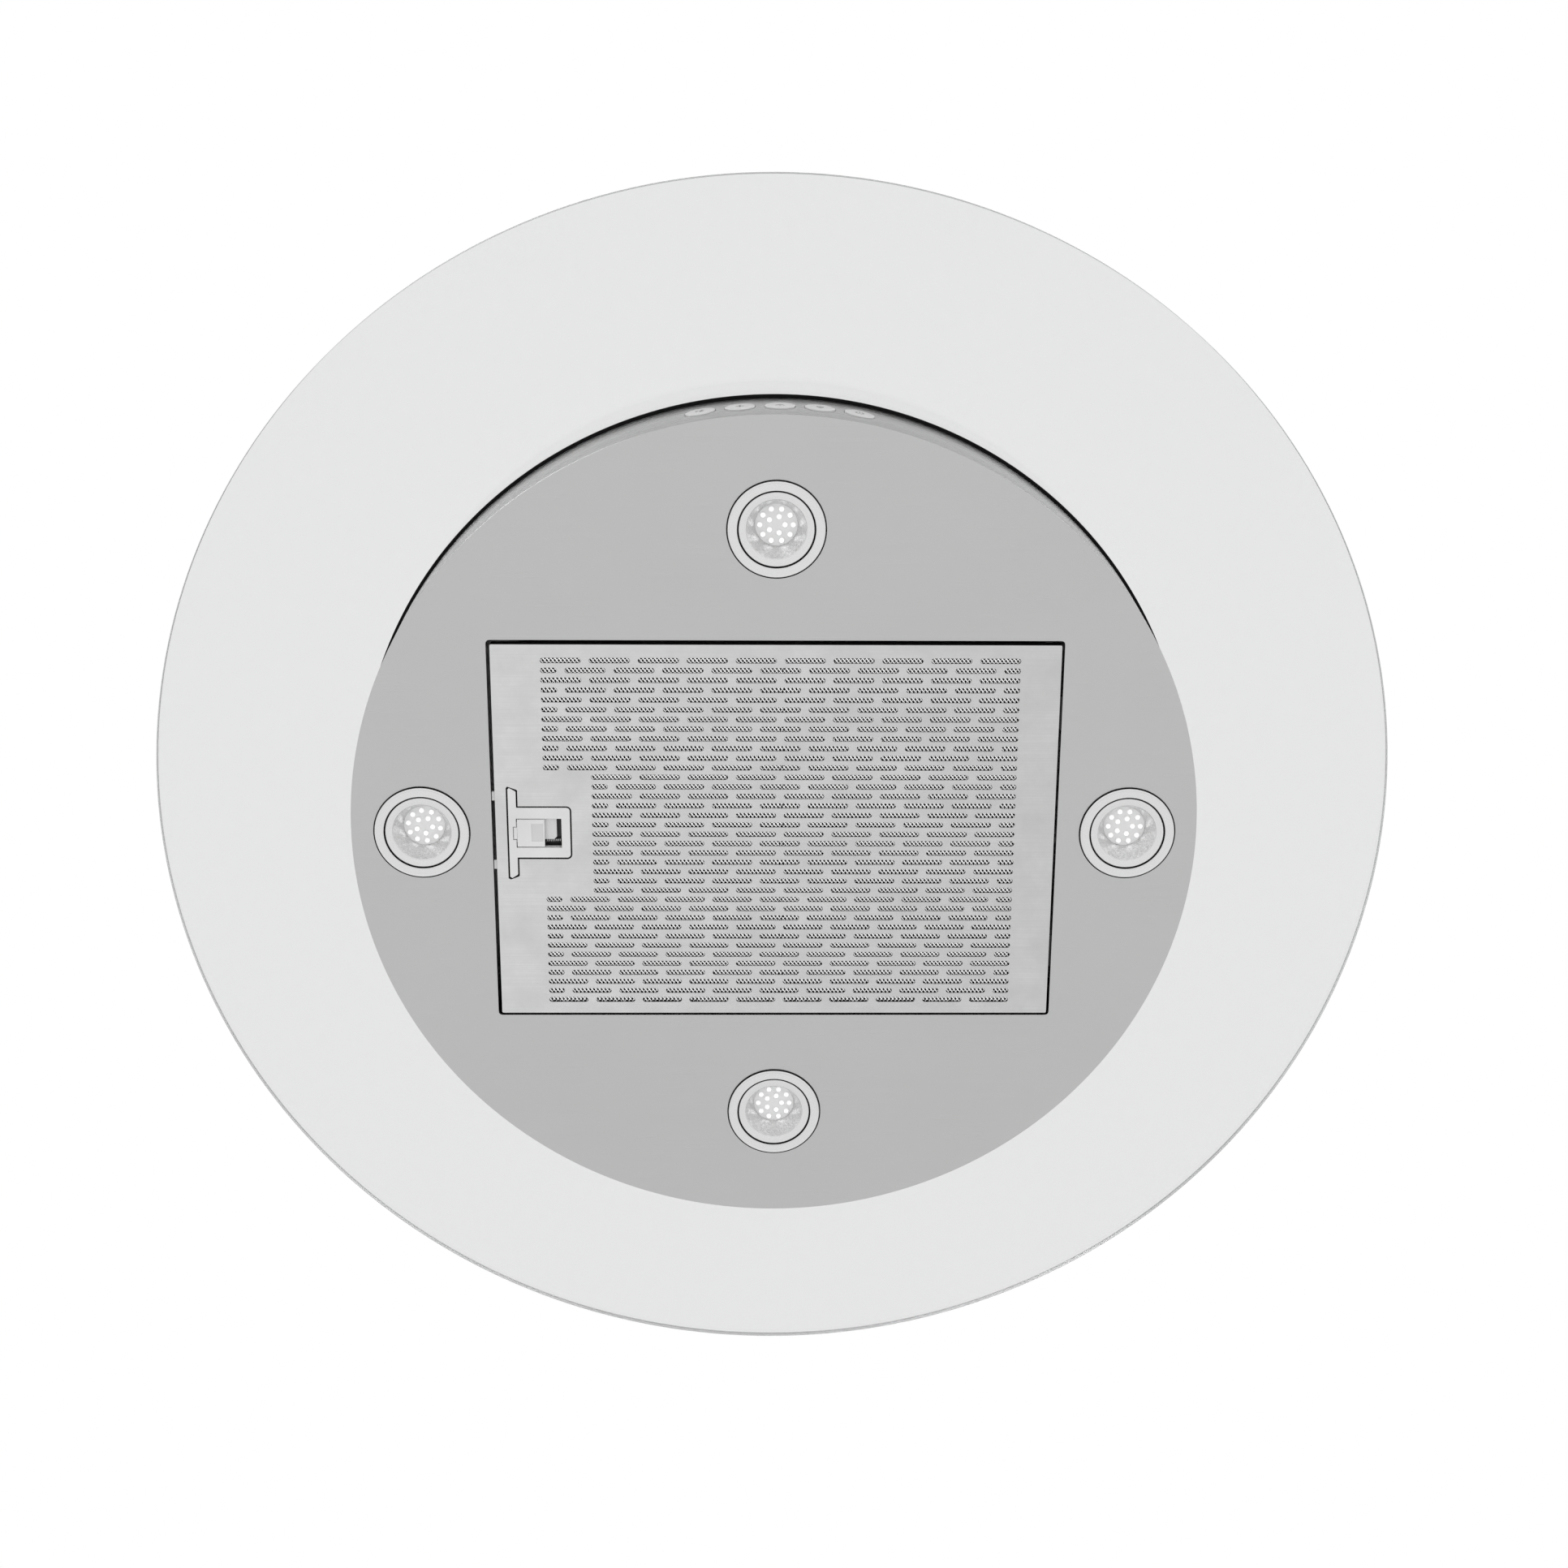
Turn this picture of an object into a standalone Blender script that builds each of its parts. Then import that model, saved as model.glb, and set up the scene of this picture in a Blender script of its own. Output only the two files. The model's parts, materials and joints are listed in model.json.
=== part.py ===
"""Island range hood: a round steel body under a flat glass canopy, hung from the ceiling.

Metres, +Z up.  The origin is the centre of the ceiling plate's top face, and the controls
face -Y.  Every height below is measured up from the underside of the body, and one empty,
the hood datum, carries the whole assembly down to hang under the ceiling.
"""
from math import acos, atan2, cos, pi, radians, sin, sqrt

import bmesh
import bpy

# ---------------------------------------------------------------- driving dimensions
GAP = 0.0003                     # clearance between touching pieces
OVERALL_HEIGHT = 0.800           # underside of the body to the ceiling, chimney pushed in
HEIGHT_TRAVEL = 0.300            # how far the chimney pulls out

BODY_RADIUS = 0.299
BODY_HEIGHT = 0.0622
SHEET = 0.0012                   # steel sheet
WALL_SHEET = 0.0010
WALL_LIP = 0.013                 # folded edge of the body wall

GLASS_RADIUS = 0.450
GLASS_LOW = 0.0652
GLASS_THICKNESS = 0.008
GLASS_HOLE_RADIUS = 0.125

FILTER_OPENING = (-0.1995, 0.1999, -0.1424, 0.1400)   # left, right, front, rear
FILTER_LEFT, FILTER_RIGHT = -0.1970, 0.1981
FILTER_FRONT, FILTER_REAR = -0.1393, 0.1384
FILTER_FACE_SHEET = 0.0010
FILTER_DEPTH = 0.0090
FILTER_SIDE_RIM, FILTER_END_RIM = 0.0127, 0.0060   # frame width at left and right, front and rear
MESH_PACK = 0.0020               # pressed layers of aluminium mesh
SLOT_ROWS = 37
SLOT_PITCH = 0.0071
SLOT_HEIGHT = 0.0038
SLOT_RUN = (-0.1626, 0.1700)     # from the first slot's left end to the last one's right
SLOT_RUN_BESIDE_LATCH = -0.1288
LATCH_ROWS = range(12, 25)       # rows that stop short of the latch
SLOT_GROUPS = 2                  # slots in a row
SLOT_BRIDGE = 0.0054

LATCH_TRAVEL = 0.008

LAMP_MIDDLE = (0.0004, -0.0013)  # the lamps' pattern sits slightly off the body's centre
LAMP_REACH = (0.2495, 0.2193)    # from there to the side lamps, and to the front and rear ones
TRIM_RADIUS = 0.0342
TRIM_SLEEVE_RADIUS = 0.0280
LAMP_RADIUS = 0.0262
LAMP_DEPTH = 0.0170              # underside of the body to the back of the reflector

BUTTON_RADIUS = 0.0104
BUTTON_HEIGHT = 0.0305
BUTTON_STEP = radians(5.22)
BUTTON_ROW_CENTRE = radians(0.5)
BUTTON_TRAVEL = 0.0015
BUTTON_BOARD_FACE = 0.2817       # distance of the switch board in front of the centre

COVER_RADIUS = 0.150
COVER_SHEET = 0.0012
COVER_OVERLAP = 0.075            # what the covers keep when the chimney is fully out
UPPER_COVER_HEIGHTS = (0.100, 0.7997)
LOWER_COVER_HEIGHTS = (0.0735, UPPER_COVER_HEIGHTS[0] + HEIGHT_TRAVEL + COVER_OVERLAP)
POST_SHEET = 0.002
LOWER_POST = (0.0977, 0.022)     # outer corner from the centre, leg width
UPPER_POST = (0.1000, 0.025)
POST_OVERLAP = 0.070
UPPER_POST_FOOT = 0.150
LOWER_POST_TOP = UPPER_POST_FOOT + HEIGHT_TRAVEL + POST_OVERLAP
CLAMP_BOLTS = ((-0.098, -0.045), (-0.098, 0.045), (0.098, -0.045), (0.098, 0.045))
DUCT_WAY = (0.140, 0.200)        # rectangular air way from the body into the blower box

BLOWER_BOX = (0.148, 0.212)
BLOWER_BOX_HEIGHTS = (0.0785, 0.350)
SCROLL_CENTRE = (-0.025, 0.230)  # Y and height of the fan axis
SCROLL_HALF_WIDTH = 0.044
SCROLL_SHEET = 0.0015
SCROLL_RADII = (0.066, 0.092)    # at the tongue and at the outlet
SCROLL_TONGUE = radians(60)
INLET_RADIUS = 0.050
IMPELLER_RADIUS = 0.060
IMPELLER_HALF_WIDTH = 0.036
BLADES = 14
SHAFT_RADIUS = 0.004

COLLAR_RADIUS = 0.075            # slides into a 150 mm duct
COLLAR_WALL = 0.002
COLLAR_HEIGHTS = (0.352, 0.432)
DAMPER_PIN_HEIGHT = 0.405
DAMPER_PIN_RADIUS = 0.0025
CEILING_HOLE_RADIUS = 0.082

FINE, MEDIUM, COARSE = 64, 40, 24   # sides of large, middle and small round pieces


# ---------------------------------------------------------------- scene and materials
for old in list(bpy.data.objects):
    bpy.data.objects.remove(old)


def new_collection(name):
    collection = bpy.data.collections.new(name)
    bpy.context.scene.collection.children.link(collection)
    return collection


parts = new_collection("island_range_hood")
cutters = new_collection("cutters")

FINISHES = {                     # colour, metallic, roughness
    "brushed_steel": ((0.62, 0.62, 0.61), 1.0, 0.32),
    "polished_steel": ((0.78, 0.78, 0.77), 1.0, 0.16),
    "galvanised": ((0.55, 0.56, 0.57), 1.0, 0.45),
    "aluminium": ((0.80, 0.80, 0.80), 1.0, 0.30),
    "glass": ((0.86, 0.88, 0.88), 0.0, 0.05),
    "rubber": ((0.02, 0.02, 0.02), 0.0, 0.70),
    "grey_plastic": ((0.70, 0.70, 0.70), 0.0, 0.40),
    "black_plastic": ((0.03, 0.03, 0.03), 0.0, 0.50),
    "board_green": ((0.05, 0.22, 0.10), 0.0, 0.50),
    "lamp_white": ((0.95, 0.95, 0.95), 0.0, 0.30),
}


def own_material(name, finish):
    """A Principled material that belongs to one sub-part."""
    colour, metallic, roughness = FINISHES[finish]
    skin = bpy.data.materials.new(name)
    skin.use_nodes = True
    shader = skin.node_tree.nodes["Principled BSDF"]
    shader.inputs["Base Color"].default_value = (*colour, 1.0)
    shader.inputs["Metallic"].default_value = metallic
    shader.inputs["Roughness"].default_value = roughness
    if finish == "glass":
        shader.inputs["Transmission Weight"].default_value = 1.0
    skin.diffuse_color = (*colour, 1.0)
    return skin


def empty(name, place, parent=None):
    pivot = bpy.data.objects.new(name, None)
    pivot.location = place
    pivot.parent = parent
    parts.objects.link(pivot)
    return pivot


datum = empty("hood_datum", (0, 0, -OVERALL_HEIGHT))


# ---------------------------------------------------------------- modelling helpers
def new_piece(name, mesh, finish=None, place=(0, 0, 0), turn=(0, 0, 0), parent=None):
    """Put a mesh in the scene: a sub-part if it has a finish, a cutter if it has none."""
    piece = bpy.data.objects.new(name, mesh)
    piece.location = place
    piece.rotation_euler = turn
    piece.parent = parent or datum
    if finish:
        mesh.materials.append(own_material(name, finish))
        parts.objects.link(piece)
    else:
        cutters.objects.link(piece)
        piece.hide_render = True
        piece.display_type = "WIRE"
    return piece


def box(name, low, high, finish=None, **how):
    """Upright box between two corners."""
    shape = bmesh.new()
    bmesh.ops.create_cube(shape, size=1.0)
    for vertex in shape.verts:
        vertex.co = [a + (b - a) * (v + 0.5) for a, b, v in zip(low, high, vertex.co)]
    return new_piece(name, finished(name, shape), finish, **how)


def cylinder(name, radius, low, high, finish=None, sides=COARSE, **how):
    """Solid cylinder about its own Z, from low to high."""
    shape = bmesh.new()
    bmesh.ops.create_cone(shape, cap_ends=True, segments=sides,
                          radius1=radius, radius2=radius, depth=high - low)
    bmesh.ops.translate(shape, verts=shape.verts, vec=(0, 0, (low + high) / 2))
    return new_piece(name, finished(name, shape), finish, **how)


def finished(name, shape):
    mesh = bpy.data.meshes.new(name)
    shape.to_mesh(mesh)
    shape.free()
    return mesh


def turned(name, profile, finish=None, sides=MEDIUM, **how):
    """Turned shape: a closed profile of (radius, height) points, down its outer side."""
    shape = bmesh.new()
    corners = [shape.verts.new((radius, 0, height)) for radius, height in profile]
    for start, end in zip(corners, corners[1:] + corners[:1]):
        if profile[corners.index(start)][0] > 0 or profile[corners.index(end)][0] > 0:
            shape.edges.new((start, end))
    piece = new_piece(name, finished(name, shape), finish, **how)
    screw = piece.modifiers.new("Turn", "SCREW")
    screw.axis = "Z"
    screw.steps = sides
    screw.render_steps = sides
    screw.use_merge_vertices = True
    screw.merge_threshold = 0.00005
    screw.use_smooth_shade = True
    return piece


def ring(name, inner, outer, low, high, finish=None, sides=MEDIUM, **how):
    profile = [(outer, high), (outer, low), (inner, low), (inner, high)]
    return turned(name, profile, finish, sides, **how)


def extruded(name, outlines, low, high, finish=None, **how):
    """Flat outline in XY from height low to high; outlines inside the first are holes."""
    curve = bpy.data.curves.new(name, "CURVE")
    curve.dimensions = "2D"
    curve.fill_mode = "BOTH"
    curve.extrude = (high - low) / 2
    for outline in outlines:
        spline = curve.splines.new("POLY")
        spline.points.add(len(outline) - 1)
        for point, (x, y) in zip(spline.points, outline):
            point.co = (x, y, 0, 1)
        spline.use_cyclic_u = True
    mesh = curve_mesh(name, curve)
    for vertex in mesh.vertices:
        vertex.co.z += (low + high) / 2
    return new_piece(name, mesh, finish, **how)


def curve_mesh(name, curve):
    """Closed mesh of a curve's evaluated shape; the curve itself is removed."""
    guide = bpy.data.objects.new(name + "_guide", curve)
    bpy.context.scene.collection.objects.link(guide)
    depsgraph = bpy.context.evaluated_depsgraph_get()
    mesh = bpy.data.meshes.new_from_object(guide.evaluated_get(depsgraph))
    mesh.name = name
    bpy.data.objects.remove(guide)
    shape = bmesh.new()
    shape.from_mesh(mesh)
    bmesh.ops.remove_doubles(shape, verts=shape.verts, dist=0.00001)
    bmesh.ops.recalc_face_normals(shape, faces=shape.faces)
    shape.to_mesh(mesh)
    shape.free()
    return mesh


def circle(radius, centre=(0, 0), sides=COARSE):
    steps = [2 * pi * i / sides for i in range(sides)]
    return [(centre[0] + radius * cos(a), centre[1] + radius * sin(a)) for a in steps]


def arc(radius, start, end, steps, centre=(0, 0)):
    """Points along an arc, both ends included."""
    angles = [start + (end - start) * i / steps for i in range(steps + 1)]
    return [(centre[0] + radius * cos(a), centre[1] + radius * sin(a)) for a in angles]


def rectangle(left, right, front, rear, corner=0.0):
    """Rectangle outline, with corners of the given radius."""
    if corner == 0.0:
        return [(left, front), (right, front), (right, rear), (left, rear)]
    places = ((right, rear, 0), (left, rear, 1), (left, front, 2), (right, front, 3))
    points = []
    for x, y, quarter in places:
        centre = (x - corner if x == right else x + corner,
                  y - corner if y == rear else y + corner)
        points += arc(corner, quarter * pi / 2, (quarter + 1) * pi / 2, 3, centre)
    return points


def centred(size):
    return rectangle(-size[0] / 2, size[0] / 2, -size[1] / 2, size[1] / 2)


def combine(piece, other, operation):
    boolean = piece.modifiers.new(operation.title(), "BOOLEAN")
    boolean.operation = operation
    boolean.object = other


def cut(piece, *others):
    for other in others:
        combine(piece, other, "DIFFERENCE")


def join(piece, *others):
    for other in others:
        combine(piece, other, "UNION")


def smooth(*pieces):
    """Round pieces shade smooth and keep their real edges sharp."""
    for piece in pieces:
        piece.data.shade_smooth()
        if piece.data.polygons:
            piece.data.set_sharp_from_angle(angle=radians(35))


# ---------------------------------------------------------------- body
def lamp_places():
    """Centres of the front, rear, left and right lamps."""
    (x, y), (aside, along) = LAMP_MIDDLE, LAMP_REACH
    return (x, y - along), (x, y + along), (x - aside, y), (x + aside, y)


def make_bottom_plate():
    holes = [circle(TRIM_SLEEVE_RADIUS + 0.0006, place) for place in lamp_places()]
    outlines = [circle(BODY_RADIUS, sides=FINE), rectangle(*FILTER_OPENING, 0.0025)] + holes
    plate = extruded("bottom_plate", outlines, 0, SHEET, "brushed_steel")
    smooth(plate)


def make_drum_wall():
    """Rolled wall with an edge folded inwards at its top and bottom."""
    low, high = SHEET + GAP, BODY_HEIGHT
    inner, lip = BODY_RADIUS - WALL_SHEET, BODY_RADIUS - WALL_LIP
    profile = [(BODY_RADIUS, high), (BODY_RADIUS, low), (lip, low), (lip, low + WALL_SHEET),
               (inner, low + WALL_SHEET), (inner, high - WALL_SHEET),
               (lip, high - WALL_SHEET), (lip, high)]
    wall = turned("drum_wall", profile, "brushed_steel", FINE)
    for angle in button_angles():
        hole = cylinder("button_hole", BUTTON_RADIUS + GAP, -0.008, 0.008, sides=COARSE,
                        place=button_place(angle), turn=(pi / 2, 0, angle))
        cut(wall, hole)


def make_top_deck():
    """Plate under the wall's upper fold; it carries the glass, the blower and the boxes."""
    high = BODY_HEIGHT - WALL_SHEET - GAP
    holes = [circle(0.0045, place, 16) for place in CLAMP_BOLTS]
    outlines = [circle(BODY_RADIUS - WALL_SHEET - GAP, sides=FINE), centred(DUCT_WAY)]
    extruded("top_deck", outlines + holes, high - SHEET, high, "galvanised")
    return high


def make_glass_stack(deck_top):
    glass_top = GLASS_LOW + GLASS_THICKNESS
    ring("edge_gasket", BODY_RADIUS - WALL_LIP, 0.3016, BODY_HEIGHT + GAP,
         GLASS_LOW - GAP, "rubber", FINE)
    ring("spacer_ring", 0.127, 0.145, deck_top + GAP, GLASS_LOW - GAP, "black_plastic")
    ring("glass_canopy", GLASS_HOLE_RADIUS, GLASS_RADIUS, GLASS_LOW, glass_top, "glass", FINE)
    ring("upper_gasket", 0.127, 0.145, glass_top + GAP, glass_top + 0.0017, "rubber")
    return glass_top + 0.0017 + GAP


def make_clamp_bolts(deck_top, frame_top):
    """Bolts from under the deck, through the glass's hole, into the lower frame."""
    head_top = deck_top - SHEET - GAP
    for number, (x, y) in enumerate(CLAMP_BOLTS, start=1):
        profile = [(0, frame_top + 0.006), (SHAFT_RADIUS, frame_top + 0.006),
                   (SHAFT_RADIUS, head_top), (0.0068, head_top), (0.0068, head_top - 0.005),
                   (0, head_top - 0.005)]
        turned(f"clamp_bolt_{number}", profile, "galvanised", 12, place=(x, y, 0))


# ---------------------------------------------------------------- grease filter
def filter_point(x, y, height):
    """A place in the body, given from the filter hinge's empty."""
    return (x - FILTER_HINGE[0], y, height - FILTER_HINGE[1])


FILTER_HINGE = (FILTER_RIGHT, SHEET + GAP)


def slot_outlines():
    """Cut-outs of the filter face: rows of long slots with narrow bridges between them."""
    outlines = []
    for row in range(SLOT_ROWS):
        centre = (row - (SLOT_ROWS - 1) / 2) * SLOT_PITCH
        start = SLOT_RUN_BESIDE_LATCH if row in LATCH_ROWS else SLOT_RUN[0]
        pitch = (SLOT_RUN[1] - start + SLOT_BRIDGE) / SLOT_GROUPS
        for group in range(SLOT_GROUPS):
            left = start + group * pitch
            outlines.append(rectangle(left, left + pitch - SLOT_BRIDGE,
                                      centre - SLOT_HEIGHT / 2, centre + SLOT_HEIGHT / 2))
    return outlines


def make_filter(hinge):
    how = {"place": filter_point(0, 0, 0), "parent": hinge}
    face_top = FILTER_FACE_SHEET
    face = rectangle(FILTER_LEFT, FILTER_RIGHT, FILTER_FRONT, FILTER_REAR)
    extruded("filter_face", [face, latch_outline(LATCH_GAP)] + slot_outlines(), 0, face_top,
             "aluminium", **how)

    low, high = face_top + GAP, FILTER_DEPTH
    edge = 0.0004                # the frame stands just inside the face's edge
    outer = rectangle(FILTER_LEFT + edge, FILTER_RIGHT - edge,
                      FILTER_FRONT + edge, FILTER_REAR - edge)
    left, right = FILTER_LEFT + FILTER_SIDE_RIM, FILTER_RIGHT - FILTER_SIDE_RIM
    front, rear = FILTER_FRONT + FILTER_END_RIM, FILTER_REAR - FILTER_END_RIM
    inner = rectangle(left, right, front, rear)
    frame = extruded("filter_frame", [outer, inner], low, high, "aluminium", **how)
    notch = box("latch_notch", (-0.200, -0.036, -0.001), (-0.180, 0.036, 0.0046), **how)
    cut(frame, notch)
    for side in (-0.090, 0.090):
        tongue = box("hinge_tongue", (FILTER_RIGHT - 0.004, side - 0.012, low + 0.0004),
                     (FILTER_RIGHT + 0.0055, side + 0.012, low + 0.0016), **how)
        join(frame, tongue)

    left, right, front, rear = left + GAP, right - GAP, front + GAP, rear - GAP
    mesh_outline = [(left, front), (right, front), (right, rear), (left, rear),
                    (left, 0.0380), (-0.1400, 0.0380), (-0.1400, -0.0390), (left, -0.0390)]
    extruded("filter_mesh", [mesh_outline], low, low + MESH_PACK, "aluminium", **how)


# ---------------------------------------------------------------- filter latch
LATCH_GAP = 0.0011               # visible gap between the latch and the filter's face
LATCH_PLATE = 0.0012
LATCH_ROOF = 0.0040              # height of the panel that the slider runs under
LATCH_TOP = 0.0092
WINDOW_LEFT, WINDOW_RIGHT = -0.1826, -0.1506
WINDOW_FRONT, WINDOW_REAR = -0.0115, 0.0103
SLIDER_GAP = 0.0006              # between the window's edges and the finger pad
SLIDER_RIGHT = -0.1626
SPRING_ROOM = (-0.1670, 0.0045, 0.0098)          # left, front and rear of the coil's room


def latch_outline(spread):
    """A bar with slanted ends and a block on its right, grown by spread all round."""
    left, bar, right = -0.1879 - spread, -0.1822 + spread, -0.1445 + spread
    front, rear = -0.0344 - spread, 0.0334 + spread
    block_front, block_rear = -0.0197 - spread, 0.0178 + spread
    corner, slant = 0.0025 + spread, 0.0030
    outline = [(left + 0.0010, front), (bar - 0.0006, front + slant - 0.0007),
               (bar, front + slant), (bar, block_front)]
    outline += arc(corner, -pi / 2, 0, 3, (right - corner, block_front + corner))
    outline += arc(corner, 0, pi / 2, 3, (right - corner, block_rear - corner))
    outline += [(bar, block_rear), (bar, rear - slant), (bar - 0.0006, rear - slant + 0.0007),
                (left + 0.0016, rear), (left, rear - 0.0010), (left, front + 0.0010)]
    return outline


def window_outline():
    """The opening that the finger pad slides in, with a notch for the pad's tab."""
    notch_left, notch_front, notch_rear = WINDOW_LEFT - 0.0023, -0.0054, 0.0045
    return [(WINDOW_LEFT, WINDOW_FRONT), (WINDOW_RIGHT, WINDOW_FRONT),
            (WINDOW_RIGHT, WINDOW_REAR), (WINDOW_LEFT, WINDOW_REAR),
            (WINDOW_LEFT, notch_rear), (notch_left, notch_rear),
            (notch_left, notch_front), (WINDOW_LEFT, notch_front)]


def make_latch_housing(hinge):
    """Plate flush with the filter's face, over a cup that holds the slider and its spring."""
    how = {"place": filter_point(0, 0, 0), "parent": hinge}
    wall, ease = 0.0012, 0.0001
    housing = box("latch_housing", (WINDOW_LEFT + 0.0020, WINDOW_FRONT - wall, 0.0006),
                  (WINDOW_RIGHT + wall, WINDOW_REAR + wall, LATCH_TOP), "grey_plastic", **how)
    room = box("slider_room", (WINDOW_LEFT - 0.0040, WINDOW_FRONT - ease, -0.0020),
               (WINDOW_RIGHT + ease, WINDOW_REAR + ease, LATCH_ROOF), **how)
    left, front, rear = SPRING_ROOM
    spring_room = box("spring_room", (left, front, LATCH_ROOF - 0.0010),
                      (WINDOW_RIGHT - 0.0003, rear, 0.0085), **how)
    end_slot = box("end_slot", (-0.1542, WINDOW_FRONT + 0.0003, LATCH_ROOF - 0.0015),
                   (WINDOW_RIGHT - 0.0005, 0.0080, 0.0083), **how)
    plate = extruded("latch_plate", [latch_outline(0), window_outline()], 0, LATCH_PLATE,
                     **how)
    clips = [box("latch_clip", (-0.1750, low, 0.0013), (-0.1650, high, 0.0023), **how)
             for low, high in ((-0.0224, -0.0120), (0.0108, 0.0206))]
    cut(housing, room, spring_room, end_slot)
    join(housing, plate, *clips)


def make_latch_slider(hinge):
    """Finger plate, arm and cross bar with two bolts that reach to the body's edge."""
    how = {"parent": empty("latch_slide", filter_point(WINDOW_LEFT, 0, 0), hinge),
           "place": (-WINDOW_LEFT, 0, 0)}
    front, rear = WINDOW_FRONT + SLIDER_GAP, WINDOW_REAR - SLIDER_GAP
    low, high = LATCH_PLATE + 0.0004, 0.0034
    slider = box("latch_slider", (WINDOW_LEFT + SLIDER_GAP, front, 0.0002),
                 (SLIDER_RIGHT, rear, 0.0020), "grey_plastic", **how)
    pieces = [
        box("tab", (WINDOW_LEFT - 0.0018, -0.0049, 0.0003), (-0.1810, 0.0040, 0.0021), **how),
        box("arm", (-0.1925, -0.0085, low), (-0.1770, 0.0065, high), **how),
        box("cross_bar", (-0.1953, -0.0313, low), (-0.1913, 0.0270, high), **how),
        box("front_bolt", (-0.1992, -0.0313, low), (-0.1923, -0.0246, high), **how),
        box("rear_bolt", (-0.1992, 0.0202, low), (-0.1923, 0.0270, high), **how),
        box("spring_tab", (-0.1646, 0.0049, 0.0015), (SLIDER_RIGHT, 0.0084, 0.0078), **how),
    ]
    join(slider, *pieces)
    cut(slider, box("thumb_recess", (-0.1719, -0.0075, -0.0010), (-0.1636, 0.0057, 0.0007),
                    **how))


def make_latch_spring(hinge):
    """Compression coil between the slider's tab and the end of its room."""
    turns, steps, coil, wire = 5, 6, 0.0014, 0.00025
    left, right = SLIDER_RIGHT + 2 * GAP, WINDOW_RIGHT - 3 * GAP
    curve = bpy.data.curves.new("latch_spring", "CURVE")
    curve.dimensions = "3D"
    curve.bevel_depth = wire
    curve.bevel_resolution = 1
    curve.use_fill_caps = True
    spline = curve.splines.new("POLY")
    spline.points.add(turns * steps)
    for i, point in enumerate(spline.points):
        angle = 2 * pi * i / steps
        along = left + (right - left) * i / (turns * steps)
        point.co = (along, 0.0066 + coil * cos(angle), 0.0063 + coil * sin(angle), 1)
    new_piece("latch_spring", curve_mesh("latch_spring", curve), "polished_steel",
              place=filter_point(0, 0, 0), parent=hinge)


# ---------------------------------------------------------------- lamps
def make_lamps():
    """Downlights: a trim with a sleeve, a bowl-shaped reflector and a board of LEDs."""
    sleeve, bore = TRIM_SLEEVE_RADIUS, LAMP_RADIUS + GAP
    board_low, board_high = LAMP_DEPTH - 0.0024, LAMP_DEPTH - 0.0008
    trim = [(TRIM_RADIUS, -GAP), (TRIM_RADIUS - 0.0006, -0.0015), (bore, -0.0015),
            (bore, LAMP_DEPTH + 0.0020), (sleeve, LAMP_DEPTH + 0.0020), (sleeve, -GAP)]
    bowl = [(LAMP_RADIUS, 0.0020), (LAMP_RADIUS, -0.0006), (0.0206, -0.0006),
            (0.0200, 0.0004), (0.0146, board_low - 0.0004), (0.0146, LAMP_DEPTH),
            (0.0162, LAMP_DEPTH)]
    for number, (x, y) in enumerate(lamp_places(), start=1):
        turned(f"lamp_trim_{number}", trim, "polished_steel", 32, place=(x, y, 0))
        turned(f"lamp_reflector_{number}", bowl, "polished_steel", COARSE, place=(x, y, 0))
        board = cylinder(f"lamp_led_board_{number}", 0.0146 - GAP, board_low, board_high,
                         "lamp_white", place=(x, y, 0))
        smooth(board)


# ---------------------------------------------------------------- controls
def button_angles():
    return [BUTTON_ROW_CENTRE + step * BUTTON_STEP for step in (-2, -1, 0, 1, 2)]


def button_place(angle):
    return (BODY_RADIUS * sin(angle), -BODY_RADIUS * cos(angle), BUTTON_HEIGHT)


def make_buttons():
    """Push buttons whose own Z points out of the wall; a flange behind it keeps them in."""
    cap, flange, stem = BUTTON_RADIUS, BUTTON_RADIUS + 0.0012, 0.003
    for number, angle in enumerate(button_angles(), start=1):
        stem_end = -(BODY_RADIUS - (BUTTON_BOARD_FACE + BUTTON_TRAVEL + 0.0005) / cos(angle))
        profile = [(0, 0.0018), (cap - 0.0010, 0.0018), (cap, 0.0008), (cap, -0.0016),
                   (flange, -0.0016), (flange, -0.0026), (stem, -0.0026),
                   (stem, stem_end), (0, stem_end)]
        turned(f"button_{number}", profile, "grey_plastic", COARSE,
               place=button_place(angle), turn=(pi / 2, 0, angle))


def make_button_board(deck_under):
    face = -BUTTON_BOARD_FACE
    back = face + 0.0016
    box("button_board", (-0.066, face, 0.017), (0.066, back, 0.044), "board_green")
    bracket = box("button_bracket", (-0.060, back + GAP, 0.014),
                  (0.060, back + GAP + SHEET, deck_under - GAP), "galvanised")
    foot = box("bracket_foot", (-0.060, back + GAP, deck_under - GAP - SHEET),
               (0.060, back + 0.016, deck_under - GAP))
    join(bracket, foot)


def make_electronics(deck_under):
    """Boxes hung under the deck behind the filter."""
    top = deck_under - GAP
    left, right, front, rear = -0.160, -0.060, 0.1755, 0.2305
    tray = box("control_box", (left, front, 0.0200), (right, rear, top), "galvanised")
    room = box("control_room", (left + SHEET, front + SHEET, 0.010),
               (right - SHEET, rear - SHEET, top - SHEET))
    hole = cylinder("gland_hole", 0.0063, -0.006, 0.006, sides=16,
                    place=(right, 0.203, 0.040), turn=(0, pi / 2, 0))
    cut(tray, room, hole)
    box("control_lid", (left, front, 0.0200 - GAP - SHEET), (right, rear, 0.0200 - GAP),
        "galvanised")
    gland = [(0.0085, 0.0020 + GAP), (0.0085, GAP), (0.0060, GAP), (0.0060, -0.0040),
             (0.0042, -0.0040), (0.0042, 0.0120), (0.0070, 0.0120), (0.0070, 0.0020 + GAP)]
    turned("cable_gland", gland, "black_plastic", 16, place=(right, 0.203, 0.040),
           turn=(0, pi / 2, 0))
    box("led_driver", (0.065, 0.182, 0.033), (0.155, 0.224, top), "black_plastic")


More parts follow.
